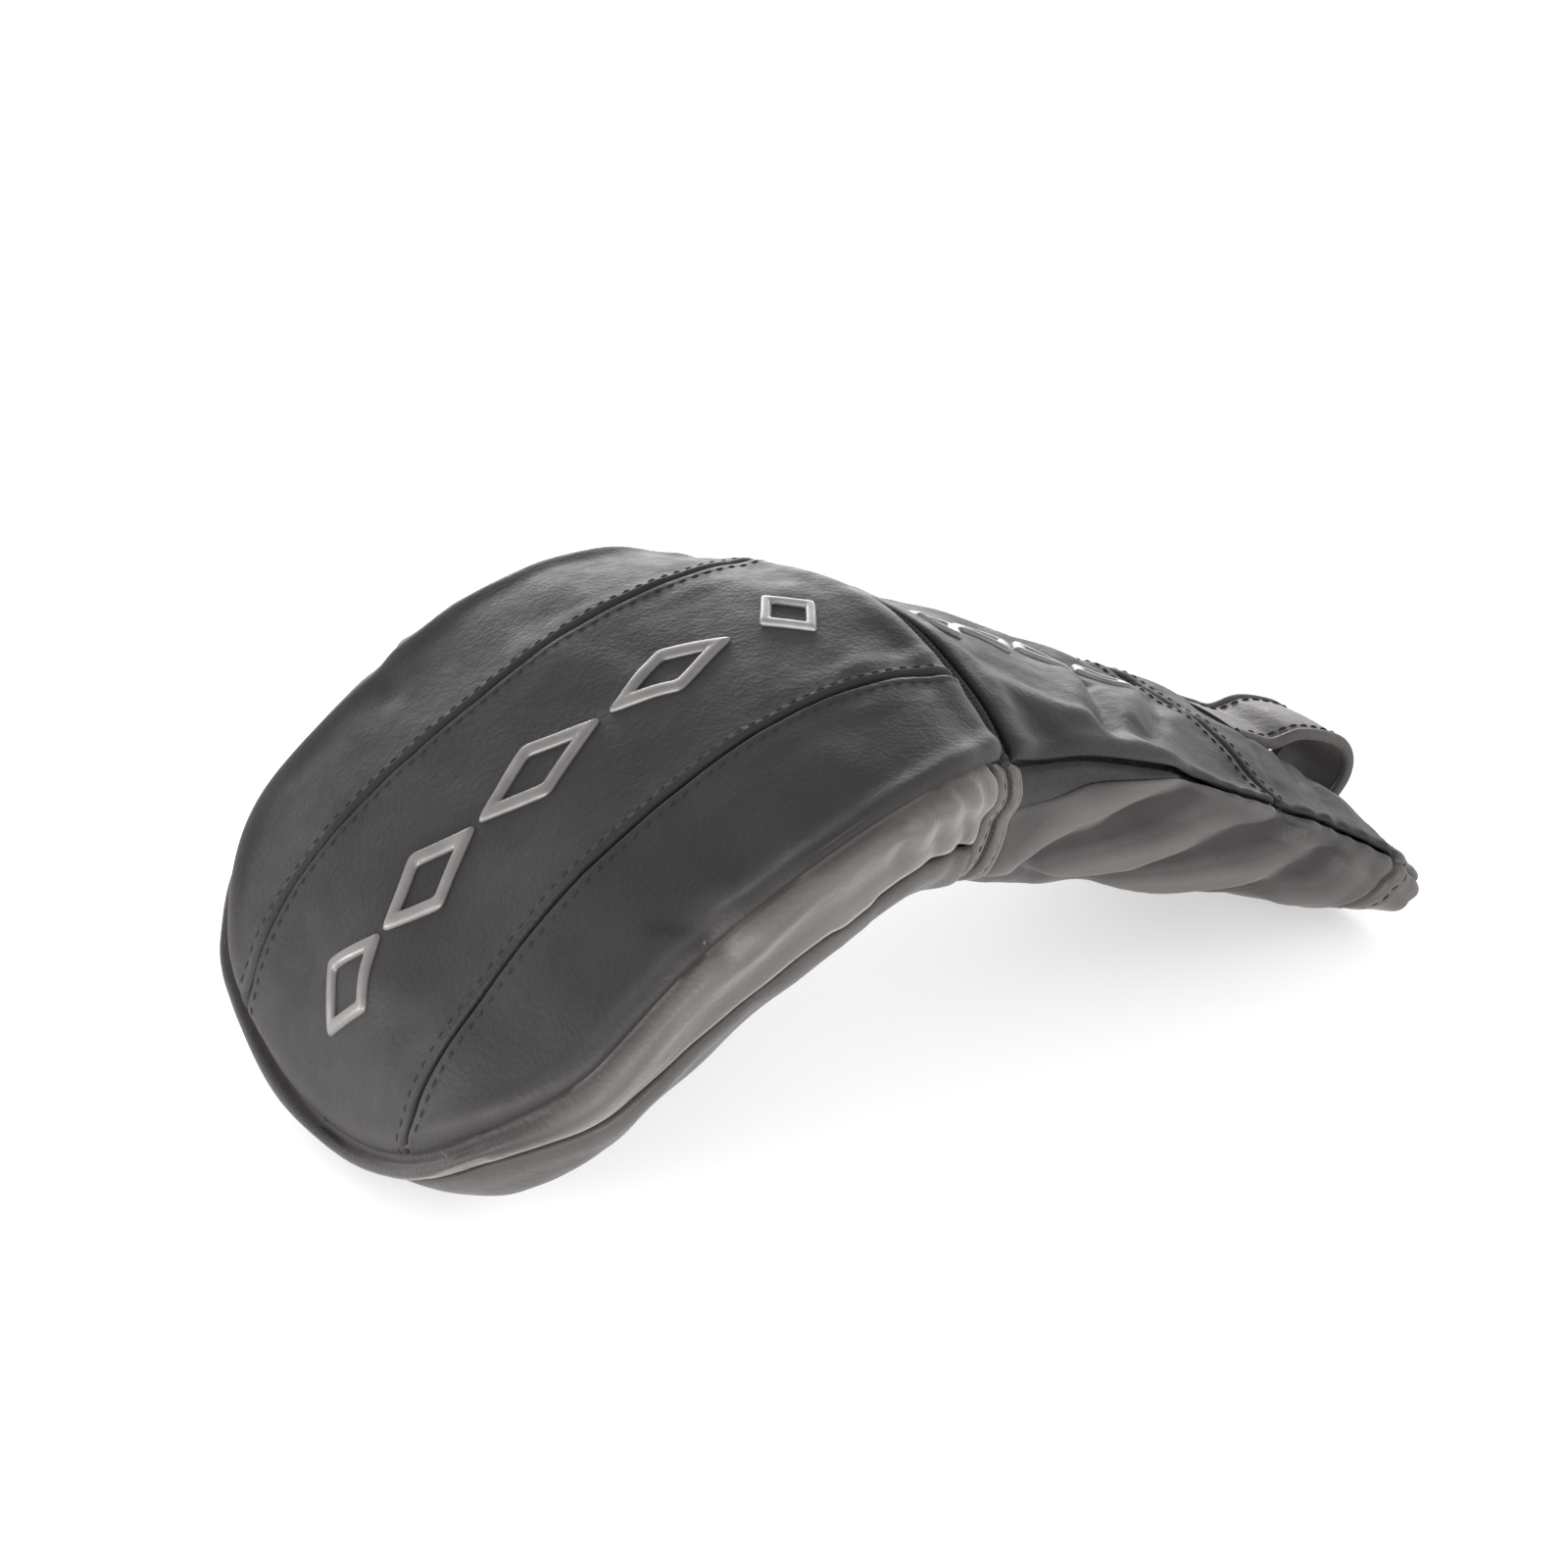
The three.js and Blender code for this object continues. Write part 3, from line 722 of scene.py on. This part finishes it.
def rolled(points, radius, ends=(True, True, True, True)):
    """Extra depth that turns a panel's borders down; ends are first row, last row, first and last column."""
    down = np.linalg.norm(np.diff(points, axis=0), axis=-1)
    across = np.linalg.norm(np.diff(points, axis=1), axis=-1)
    rows = np.concatenate([np.zeros((1, points.shape[1])), np.cumsum(down, 0)])
    columns = np.concatenate([np.zeros((points.shape[0], 1)), np.cumsum(across, 1)], 1)
    away = np.full(points.shape[:2], 99.0)
    for use, distance in zip(ends, (rows, rows[-1] - rows, columns, columns[:, -1:] - columns)):
        if use:
            away = np.minimum(away, distance)
    part = np.clip(1 - away / radius, 0, 1)
    return radius * (1 - np.sqrt(np.maximum(1 - part ** 2, 0)))


def slab(name, outer, inner, wrap, mat, fields=None):
    """A closed piece between two grids of points; wrap joins the last column to the first."""
    rows, columns = outer.shape[0] - 1, outer.shape[1] - (0 if wrap else 1)
    points = np.concatenate([outer.reshape(-1, 3), inner.reshape(-1, 3)])
    faces = outward_faces(points, solid_faces(rows, columns, wrap))
    return make(name, points, faces.tolist(), mat, fields)


def panel(name, u, c, mat, depth=0.0, thick=2.0, wrap=False, roll=1.1, ends=(True, True, True, True)):
    """A leather or fabric panel of real thickness that follows the surface at (u, c)."""
    deep = np.zeros(u.shape) + depth
    border = rolled(at(u, c, deep), roll, ends) if roll else 0
    outer = at(u, c, deep + border)
    outer[..., 2] = np.maximum(outer[..., 2], 0.03)
    inner = at(u, c, deep + thick)
    inner[..., 2] = np.maximum(inner[..., 2], 0.06)
    height = look(relief, u, c).ravel()
    return slab(name, outer, inner, wrap, mat, np.concatenate([height, height]))


def patch(name, s0, s1, rows, columns, low, high, mat, length, **more):
    """A panel between stations s0 and s1 and between the girths low(u) and high(u)."""
    i = ticks(rows, s1 - s0)
    u = u_of(s0) + (u_of(s1) - u_of(s0)) * i
    u = np.repeat(u[:, None], len(ticks(columns, length)), 1)
    j = ticks(columns, length)[None]
    a, b = low(u), high(u)
    return panel(name, u, a + (b - a) * j, mat, **more)


def tube(name, s_line, depth, thick, mat, columns=420):
    """A band that runs all round the cover."""
    c = np.linspace(0, 6, columns, endpoint=False)[None]
    u = np.repeat(u_of(s_line)[:, None], columns, 1)
    c = np.repeat(c, len(s_line), 0)
    return panel(name, u, c, mat, depth=depth(s_of(u), c), thick=thick, wrap=True, roll=0)


def stands_for(obj, node, body=None):
    """Hide the part a piece replaces; without a body of its own its transform is baked in."""
    if body is None:
        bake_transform(obj)
    else:
        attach(obj, body)
    if node:
        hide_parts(node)


GAP = 0.12
SIDE_START = 12.6
CROWN_END = 188.8
TOP_START = 196.2
FOAM_START = 22
FOAM_END = 180
FOAM_WIDTH = 0.95
FOAM_INSET = 3.3
LINING_ROWS = 60
LINING_THICK = 1.4
sides = ((1, "left"), (-1, "right"))


def crown_edge(u):
    return 1 - np.minimum(0.25 / rim_width(u), 0.04)


def centre_edge(u):
    return np.minimum((seam_at(u) - GAP) / rim_width(u), crown_edge(u))


def fold_c(c):
    """Girth without its sign, for columns that run from 0 to 6."""
    return np.minimum(c, 6 - c)


def within(u, c, inset):
    """A point of the inner layers: they follow the plain loft, and give way under deep creases."""
    sunk = np.clip(-look(hollows, u, c) - 0.7, 0, 3)
    return skin(u, np.where(c > 3, c - 6, c), inset + sunk)


def nap(u, c):
    """Slight unevenness of a fleece."""
    return np.stack([0.25 * waves(within(u, c, 0.0), 9, 21)] * 3, -1)


# ---------------- head pocket
def crown():
    centre = patch("crown_center_leather", 0.03, CROWN_END, 200, 88, lambda u: -centre_edge(u), centre_edge,
                   LEATHER, 72, ends=(False, True, True, True))
    stands_for(centre, "crown_center_panel")
    for side, label in sides:
        piece = patch("crown_side_leather_" + label, SIDE_START, CROWN_END, 180, 46,
                      lambda u: side * np.minimum((seam_at(u) + GAP) / rim_width(u), crown_edge(u) - 0.002),
                      lambda u: side * crown_edge(u), LEATHER, 38, roll=0.6, ends=(False, True, True, True))
        stands_for(piece, "crown_side_panel_" + label)


def gusset_band():
    """One band from heel to heel round the toe, its upper edge tucked under the crown."""
    steps_u = np.linspace(U_FIRST, float(u_of(HEEL_S)), 230)
    u, t = np.meshgrid(np.concatenate([-steps_u[::-1], steps_u]), ticks(22, 18), indexing="ij")
    c = 0.99 + (low_edge(u) - 1.0) * t
    gusset = panel("gusset_leather_band", u, c, PAINTED_LIT_SIDE_LEATHER, depth=1.5 * (1 - smooth(c, 0.995, 1.03)))
    stands_for(gusset, "gusset_band")


def under_panel():
    base = patch("under_leather", 1.2, HEEL_S, 170, 150, lambda u: low_edge(u) + 0.006,
                 lambda u: 5.994 - low_edge(u), PAINTED_LIT_UNDER_LEATHER, 160)
    stands_for(base, "under_panel")


def crown_foam():
    i, j = np.meshgrid(ticks(60, 158), ticks(50, 140), indexing="ij")
    u = u_of(FOAM_START) + (u_of(FOAM_END) - u_of(FOAM_START)) * i
    c = FOAM_WIDTH * (2 * j - 1)
    padding = slab("crown_foam", within(u, c, FOAM_INSET), within(u, c, FOAM_INSET + 2.5), False, FOAM)
    stands_for(padding, "crown_padding", "head")


def head_lining():
    """Fleece bag inside the pocket, closed at the toe."""
    c = np.repeat(np.linspace(0, 6, 160, endpoint=False)[None], LINING_ROWS, 0)
    walls = []
    for start, extra in ((25, 0.0), (31, LINING_THICK)):
        u = np.repeat(np.linspace(u_of(start), u_of(HEEL_S - 3), LINING_ROWS)[:, None], c.shape[1], 1)
        depth = 6.8 + (3.9 - 6.8) * smooth(fold_c(c), 1.0, 1.5) + extra
        ring = within(u, c, depth) + nap(u, c)
        middle = ring[0].mean(0)
        closing = [middle + (ring[0] - middle) * f for f in (0.04, 0.4, 0.75)]
        walls.append(np.concatenate([np.array(closing), ring]))
    lining = slab("head_fleece_lining", *walls, True, FLEECE)
    stands_for(lining, "head_lining")


crown()
gusset_band()
under_panel()
crown_foam()
head_lining()


# ---------------- throat
HEM_ROWS = np.array([0, 0.04, 0.12, 0.22, 0.32, 0.42, 0.5, 0.58, 0.68, 0.78, 0.88, 0.96, 1.0])
ELASTIC_S = 189.7
ELASTIC_WIDE = 4.6
RIB = 1.5


def throat_hem(label, first, wide, bulge, groove):
    """A domed hem beside the elastic, with its stitch line sunk at the given share of its width."""
    def depth(s, c):
        t = (s - first) / wide
        dome = np.sqrt(np.clip(1 - (2 * t - 1) ** 4, 0, 1))
        on_side = smooth(fold_c(c), 0.9, 1.15)
        proud = bulge * dome - 0.5 * bell((t - groove) * wide, 0.45)
        return (1 - on_side) * (2.6 - 0.5 * dome) + on_side * (0.4 - proud)

    hem = tube(f"throat_hem_{label}_band", first + wide * HEM_ROWS, depth, 2.2, PAINTED_LIT_SIDE_LEATHER)
    stands_for(hem, "throat_hem_" + label)


def elastic_depth(s, c):
    """Fine ribs across a band that bulges a little; higher over the top than at the sides."""
    rib = 0.22 * np.cos(look(girth, u_of(s), c) * 2 * np.pi / RIB)
    over = 1 - smooth(fold_c(c), 0.9, 1.1)
    return 1.0 - 0.5 * np.sin(np.pi * (s - ELASTIC_S) / ELASTIC_WIDE) - rib - 1.7 * over


throat_hem("head", 186.2, 3.5, 0.9, 0.6)
throat_hem("neck", 194.1, 3.7, 1.1, 0.45)
ring = tube("elastic_webbing", np.linspace(ELASTIC_S, ELASTIC_S + ELASTIC_WIDE, 9), elastic_depth, 1.3,
            ELASTIC, 1100)
stands_for(ring, "elastic_ring")

# ---------------- neck sleeve
def under_start(u):
    """Upper edge of the neck's underside: below the gore first, then at the rim."""
    t = smooth(s_of(u), GORE_S - 1, GORE_S + 9)
    return (gore_end(u) + 0.006) * (1 - t) + 1.012 * t


def neck_panels():
    top = patch("neck_top_leather", TOP_START, CUFF_S - GAP, 100, 120, lambda u: -crown_edge(u), crown_edge,
                LEATHER, 110)
    stands_for(top, "neck_top_panel")
    for side, label in sides:
        gore = patch("stretch_felt_gore_" + label, NECK_S + 0.1, GORE_S, 60, 22,
                     lambda u: side * 1.012 + 0 * u, lambda u: side * (gore_end(u) - 0.006),
                     FELT, 14, depth=0.5, thick=1.6, roll=0.4)
        stands_for(gore, "stretch_gore_" + label)
    below = patch("neck_under_leather", NECK_S + 0.1, HEM_S - GAP, 150, 150, under_start,
                  lambda u: 6 - under_start(u), PAINTED_LIT_UNDER_LEATHER, 150)
    stands_for(below, "neck_under_panel")
    cuff = patch("cuff_leather", CUFF_S + GAP, HEM_S - GAP, 52, 120, lambda u: -crown_edge(u), crown_edge,
                 LEATHER, 112)
    stands_for(cuff, "cuff_panel", "neck")


def mouth_depth(s, c):
    t = (s - MOUTH_S) / (END_S - MOUTH_S)
    fall = smooth(t, 0.0, 0.08) * (1 - smooth(t, 0.93, 1.0))
    return 1.2 - 1.6 * fall + 0.45 * bell((t - 0.3) * 12, 0.5) + 0.15 * waves(look(plain, u_of(s), c), 9, 14)


def mouth_hem():
    steps = np.concatenate([[0, 0.01, 0.03, 0.06], np.linspace(0.1, 0.9, 17), [0.93, 0.96, 0.985, 1.0]])
    mouth = tube("mouth_hem_band", MOUTH_S + (END_S - MOUTH_S) * steps, mouth_depth, 2.6, PAINTED_LIT_HEM_LEATHER, 520)
    stands_for(mouth, "mouth_hem", "neck")


def neck_lining():
    u, c = np.meshgrid(np.linspace(u_of(NECK_S + 1), u_of(HEM_S + 6), 70),
                       np.linspace(0, 6, 240, endpoint=False), indexing="ij")
    uneven = 0.2 * waves(within(u, c, 0.0), 14, 15)
    walls = [within(u, c, 4.1 + extra + uneven) for extra in (0, LINING_THICK)]
    inside = slab("neck_fleece_lining", *walls, True, FLEECE)
    stands_for(inside, "neck_lining")


neck_panels()
mouth_hem()
neck_lining()

# ---------------- moulded marks
# station, length and width of each mark, and the section of their stroke: across, height
MARKS = [(41, 33, 19), (73, 31, 19), (104, 31, 19), (135, 29, 18)]
BADGE = (163, 15, 22)
NECK_MARKS = [(212, 17, 17), (230, 17, 17), (249, 17, 17), (268, 17, 17)]
PROFILE = [(0.0, -0.5), (0.0, 0.45), (0.12, 0.95), (0.3, 1.15), (0.7, 1.15), (0.88, 0.95), (1.0, 0.45),
           (1.0, -0.5)]


def diamond(name, mark, stroke, lean, mat):
    """Outlined diamond with bevelled faces and slightly rounded corners, lying on the leather."""
    s0, length, width = mark
    corners = np.array([[-1, 0], [0, -1], [1, 0], [0, 1]], float)
    t = np.linspace(0, 1, 20, endpoint=False)[:, None]
    ring = np.concatenate([a + (b - a) * t for a, b in zip(corners, np.roll(corners, -1, 0))])
    for _ in range(3):
        ring = 0.5 * ring + 0.25 * (np.roll(ring, 1, 0) + np.roll(ring, -1, 0))
    shrink = 4.4 * stroke / math.hypot(length, width)
    points = []
    for across, height in PROFILE:
        scale = 1 - across * shrink
        x = ring[:, 0] * scale * length / 2
        y = ring[:, 1] * scale * width / 2
        u = u_of(s0 + x + lean * y)
        points.append(at(u, y / rim_width(u), -height + 0 * u))
    points = np.array(points)
    rows, count = points.shape[:2]
    flat = points.reshape(-1, 3)
    faces = quads(rows, count) % len(flat)
    return make(name, flat, outward_faces(flat, faces).tolist(), mat)


for number, mark in enumerate(MARKS, 1):
    emblem = diamond(f"crown_emblem_{number}", mark, 3.4, 0.25, MARK)
    stands_for(emblem, f"crown_mark_{number}", "head")
stands_for(diamond("heel_emblem", BADGE, 2.4, 0, BADGE_SKIN), "heel_badge", "head")
for number, mark in enumerate(NECK_MARKS, 1):
    emblem = diamond(f"neck_emblem_{number}", mark, 2.4, -0.3, BADGE_SKIN)
    stands_for(emblem, f"neck_mark_{number}")


# ---------------- stitching
STITCH = 2.6
PITCH = 3.5
BEAD_SIDES = 8
# how far along a stitch, its thickness there, and its rise above the leather
BEAD = [(0.0, 0.35, -0.25), (0.12, 0.85, 0.0), (0.35, 1.0, 0.2), (0.65, 1.0, 0.2), (0.88, 0.85, 0.0),
        (1.0, 0.35, -0.25)]


def stitches(name, u, c, radius=0.27, sink=0.08, source=at):
    """A row of separate thread stitches along a path of (u, c) samples, each a small arched bead."""
    path = source(u, c, np.zeros(len(u)))
    length = np.concatenate([[0], np.cumsum(np.linalg.norm(np.diff(path, axis=0), axis=-1))])
    points, faces = [], []
    place, thick, lift = np.array(BEAD).T
    for start in np.arange(0.5, length[-1] - STITCH, PITCH):
        where = start + place * STITCH
        uu, cc = np.interp(where, length, u), np.interp(where, length, c)
        low = source(uu, cc, np.full(len(uu), sink))
        normals_here = source(uu, cc, np.full(len(uu), sink - 1.0)) - low
        ahead = unit(low[-1] - low[0])
        first = len(points)
        for k, normal in enumerate(normals_here):
            side_way = unit(np.cross(ahead, normal))
            for angle in np.arange(BEAD_SIDES) * 2 * math.pi / BEAD_SIDES:
                rise = lift[k] + radius * thick[k] * math.sin(angle) * 0.8
                points.append(low[k] + normal * rise + side_way * radius * thick[k] * math.cos(angle))
        for r in range(first, first + (len(BEAD) - 1) * BEAD_SIDES, BEAD_SIDES):
            for k in range(BEAD_SIDES):
                a, b = r + k, r + (k + 1) % BEAD_SIDES
                faces.append((a, b, b + BEAD_SIDES, a + BEAD_SIDES))
        faces.append(tuple(range(first + BEAD_SIDES - 1, first - 1, -1)))
        faces.append(tuple(range(len(points) - BEAD_SIDES, len(points))))
    return make(name, np.array(points), faces, THREAD)


def along(s0, s1, offset, count=240):
    u = u_of(np.linspace(s0, s1, count))
    return u, offset(u) / rim_width(u)


for side, label in sides:
    for where, gap, first_s in (("inner", -SEAM_ROW, 10.5), ("outer", SEAM_ROW, 21)):
        u, c = along(first_s, HEEL_S - 1.5, lambda u: side * (seam_at(u) + gap))
        stands_for(stitches(f"seam_stitches_{label}_{where}", u, c), f"seam_thread_{label}_{where}")
for where, gap in (("upper", -SEAM_ROW), ("lower", SEAM_ROW)):
    c = np.linspace(-0.95, 0.95, 300)
    u = np.full(300, float(u_of(CUFF_S + gap)))
    stands_for(stitches(f"cuff_stitches_{where}", u, c), f"cross_seam_thread_{where}", "neck")
for name, s, sink in (("hem_stitches_head", 188.6, 0.1), ("hem_stitches_neck", 195.8, 0.0)):
    c = np.linspace(1.12, 4.88, 400)
    u = np.full(400, float(u_of(s)))
    stands_for(stitches(name, u, c, 0.3, sink), None)
c = np.linspace(0, 5.98, 700)
u = np.full(700, float(u_of(HEM_S + 3.7)))
stands_for(stitches("mouth_stitches", u, c, 0.32, 0.1), None, "neck")

# ---------------- pull tab
TAB_LOW_Y = -14.5
TAB_HIGH_Y = 6.5
# x from the toe and z of the strap's centre line, from its sewn root round the loop
TAB_PATH = [
    (250.0, 43.0), (255.5, 40.1), (261.5, 37.3), (269.5, 37.5), (277.5, 35.0), (284.5, 31.0), (287.5, 25.5),
    (286.5, 20.0), (282.5, 15.5),
]


def tab_point(t, y, lift):
    """A point at t along the strap's loop, y across it and lift off its outer face."""
    way, marks = spline(TAB_PATH, 161)
    tangent = unit(np.gradient(way, axis=0))
    x, z, along_x, along_z = (np.interp(t, marks, column) for column in (*way.T, *tangent.T))
    return np.stack([x + SHIFT_X - along_z * lift, y + 0 * x, z + along_x * lift], -1)


def strap(name, section, mat, rows=110):
    """A ribbon with the given rounded section, (y, lift) pairs, swept along the tab's loop."""
    t = np.linspace(0, 1, rows + 1)
    rings = np.stack([tab_point(t, y, lift) for y, lift in section], 1)
    count = len(section)
    flat = rings.reshape(-1, 3)
    faces = quads(rows, count)
    turned = outward_faces(flat, faces)
    order = -1 if turned[0][0] == faces[0][0] else 1
    ends = [tuple(range(count))[::order], tuple(range(rows * count, rows * count + count))[::-order]]
    return make(name, flat, turned.tolist() + ends, mat)


def section(y0, y1, low, high, corner, crown=0.0):
    """Rounded box section with a slightly crowned face."""
    out = []
    for cx, cz, start in ((y1 - corner, high - corner, 0), (y0 + corner, high - corner, 90),
                          (y0 + corner, low + corner, 180), (y1 - corner, low + corner, 270)):
        for angle in range(start, start + 91, 30):
            a = math.radians(angle)
            out.append((cx + corner * math.cos(a), cz + corner * math.sin(a)))
        if start == 0 and crown:
            for f in (0.2, 0.4, 0.6, 0.8):
                out.append((cx + (y0 - y1 + 2 * corner) * f, high + crown * math.sin(math.pi * f)))
    return out


def on_tab(obj, node):
    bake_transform(obj)
    if node:
        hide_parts(node)


face = section(TAB_LOW_Y, TAB_HIGH_Y, -1.8, 0.0, 0.5, 0.5)
on_tab(strap("pull_tab_leather", face, PAINTED_LIT_STRAP_LEATHER), "pull_tab_strap")
for side, label, edge in ((1, "left", TAB_HIGH_Y), (-1, "right", TAB_LOW_Y)):
    y0, y1 = sorted((edge + side * 0.1, edge + side * 2.3))
    binding = strap("pull_tab_edge_" + label, section(y0, y1, -2.3, 0.5, 0.95), PAINTED_LIT_HEM_LEATHER)
    on_tab(binding, "pull_tab_binding_" + label)
    row = edge - side * 1.6
    thread = stitches("pull_tab_stitches_" + label, np.linspace(0.12, 0.98, 200), np.zeros(200), 0.3, 0.0,
                      lambda t, c, depth: tab_point(t, row, 0.12 - depth))
    on_tab(thread, None)

# ---------------- floor, light and camera
AZIMUTH = math.radians(-34.4)
ELEVATION = math.radians(26.6)
DISTANCE = 0.905
AIM = Vector((-0.00857, 0.0, 0.048))
OFFSET_RIGHT = -0.00767
OFFSET_UP = 0.00496


def floor():
    size, z = 3.0, -0.0004
    mesh = bpy.data.meshes.new("pale_floor")
    corners = [(-size, -size, z), (size, -size, z), (size, size, z), (-size, size, z)]
    mesh.from_pydata(corners, [], [(0, 1, 2, 3)])
    tree = Shader("pale_floor")
    colour = tree.blend(tree.noise(3, 2), (0.86, 0.86, 0.86), (0.88, 0.88, 0.88))
    mesh.materials.append(tree.finish(colour, None, None, Roughness=0.9, Specular_IOR_Level=0.1,
                                      Emission_Color=(1, 1, 1, 1), Emission_Strength=0.4))
    add("pale_floor", mesh)


def area_light(name, position, target, width, height, power):
    data = bpy.data.lights.new(name, "AREA")
    data.shape = "RECTANGLE"
    data.size, data.size_y = width, height
    data.energy = power
    obj = add(name, data)
    obj.location = position
    obj.rotation_euler = (Vector(target) - Vector(position)).to_track_quat("-Z", "Y").to_euler()
    obj.visible_camera = False


def surroundings():
    world = bpy.data.worlds.new("studio")
    world.use_nodes = True
    nodes, links = world.node_tree.nodes, world.node_tree.links
    place = nodes.new("ShaderNodeTexCoord")
    split = nodes.new("ShaderNodeSeparateXYZ")
    ramp = nodes.new("ShaderNodeValToRGB")
    links.new(place.outputs["Generated"], split.inputs["Vector"])
    links.new(split.outputs["Z"], ramp.inputs["Fac"])
    ramp.color_ramp.elements[0].color = (1, 1, 1, 1)
    ramp.color_ramp.elements[1].color = (0.3, 0.3, 0.3, 1)
    middle = ramp.color_ramp.elements.new(0.35)
    middle.color = (0.8, 0.8, 0.8, 1)
    back = nodes["Background"]
    links.new(ramp.outputs["Color"], back.inputs["Color"])
    back.inputs["Strength"].default_value = 1.6
    bpy.context.scene.world = world


def camera():
    back = Vector((math.sin(AZIMUTH) * math.cos(ELEVATION), -math.cos(AZIMUTH) * math.cos(ELEVATION),
                   math.sin(ELEVATION)))
    right = Vector((math.cos(AZIMUTH), math.sin(AZIMUTH), 0))
    up = back.cross(right)
    data = bpy.data.cameras.new("camera")
    data.sensor_width = 36
    data.lens = 91.6
    obj = add("camera", data)
    obj.location = AIM + right * OFFSET_RIGHT + up * OFFSET_UP + back * DISTANCE
    obj.rotation_euler = back.to_track_quat("Z", "Y").to_euler()
    bpy.context.scene.camera = obj


floor()
surroundings()
camera()
area_light("front_low", (-0.55, -0.75, 0.12), (0, 0, 0.04), 0.9, 0.22, 8)
area_light("toe_low", (-0.9, 0.15, 0.1), (0, 0, 0.04), 0.6, 0.2, 5)
area_light("back_low", (0.5, 0.9, 0.25), (0, 0, 0.05), 0.9, 0.25, 7)
bpy.context.scene.view_settings.view_transform = "Standard"
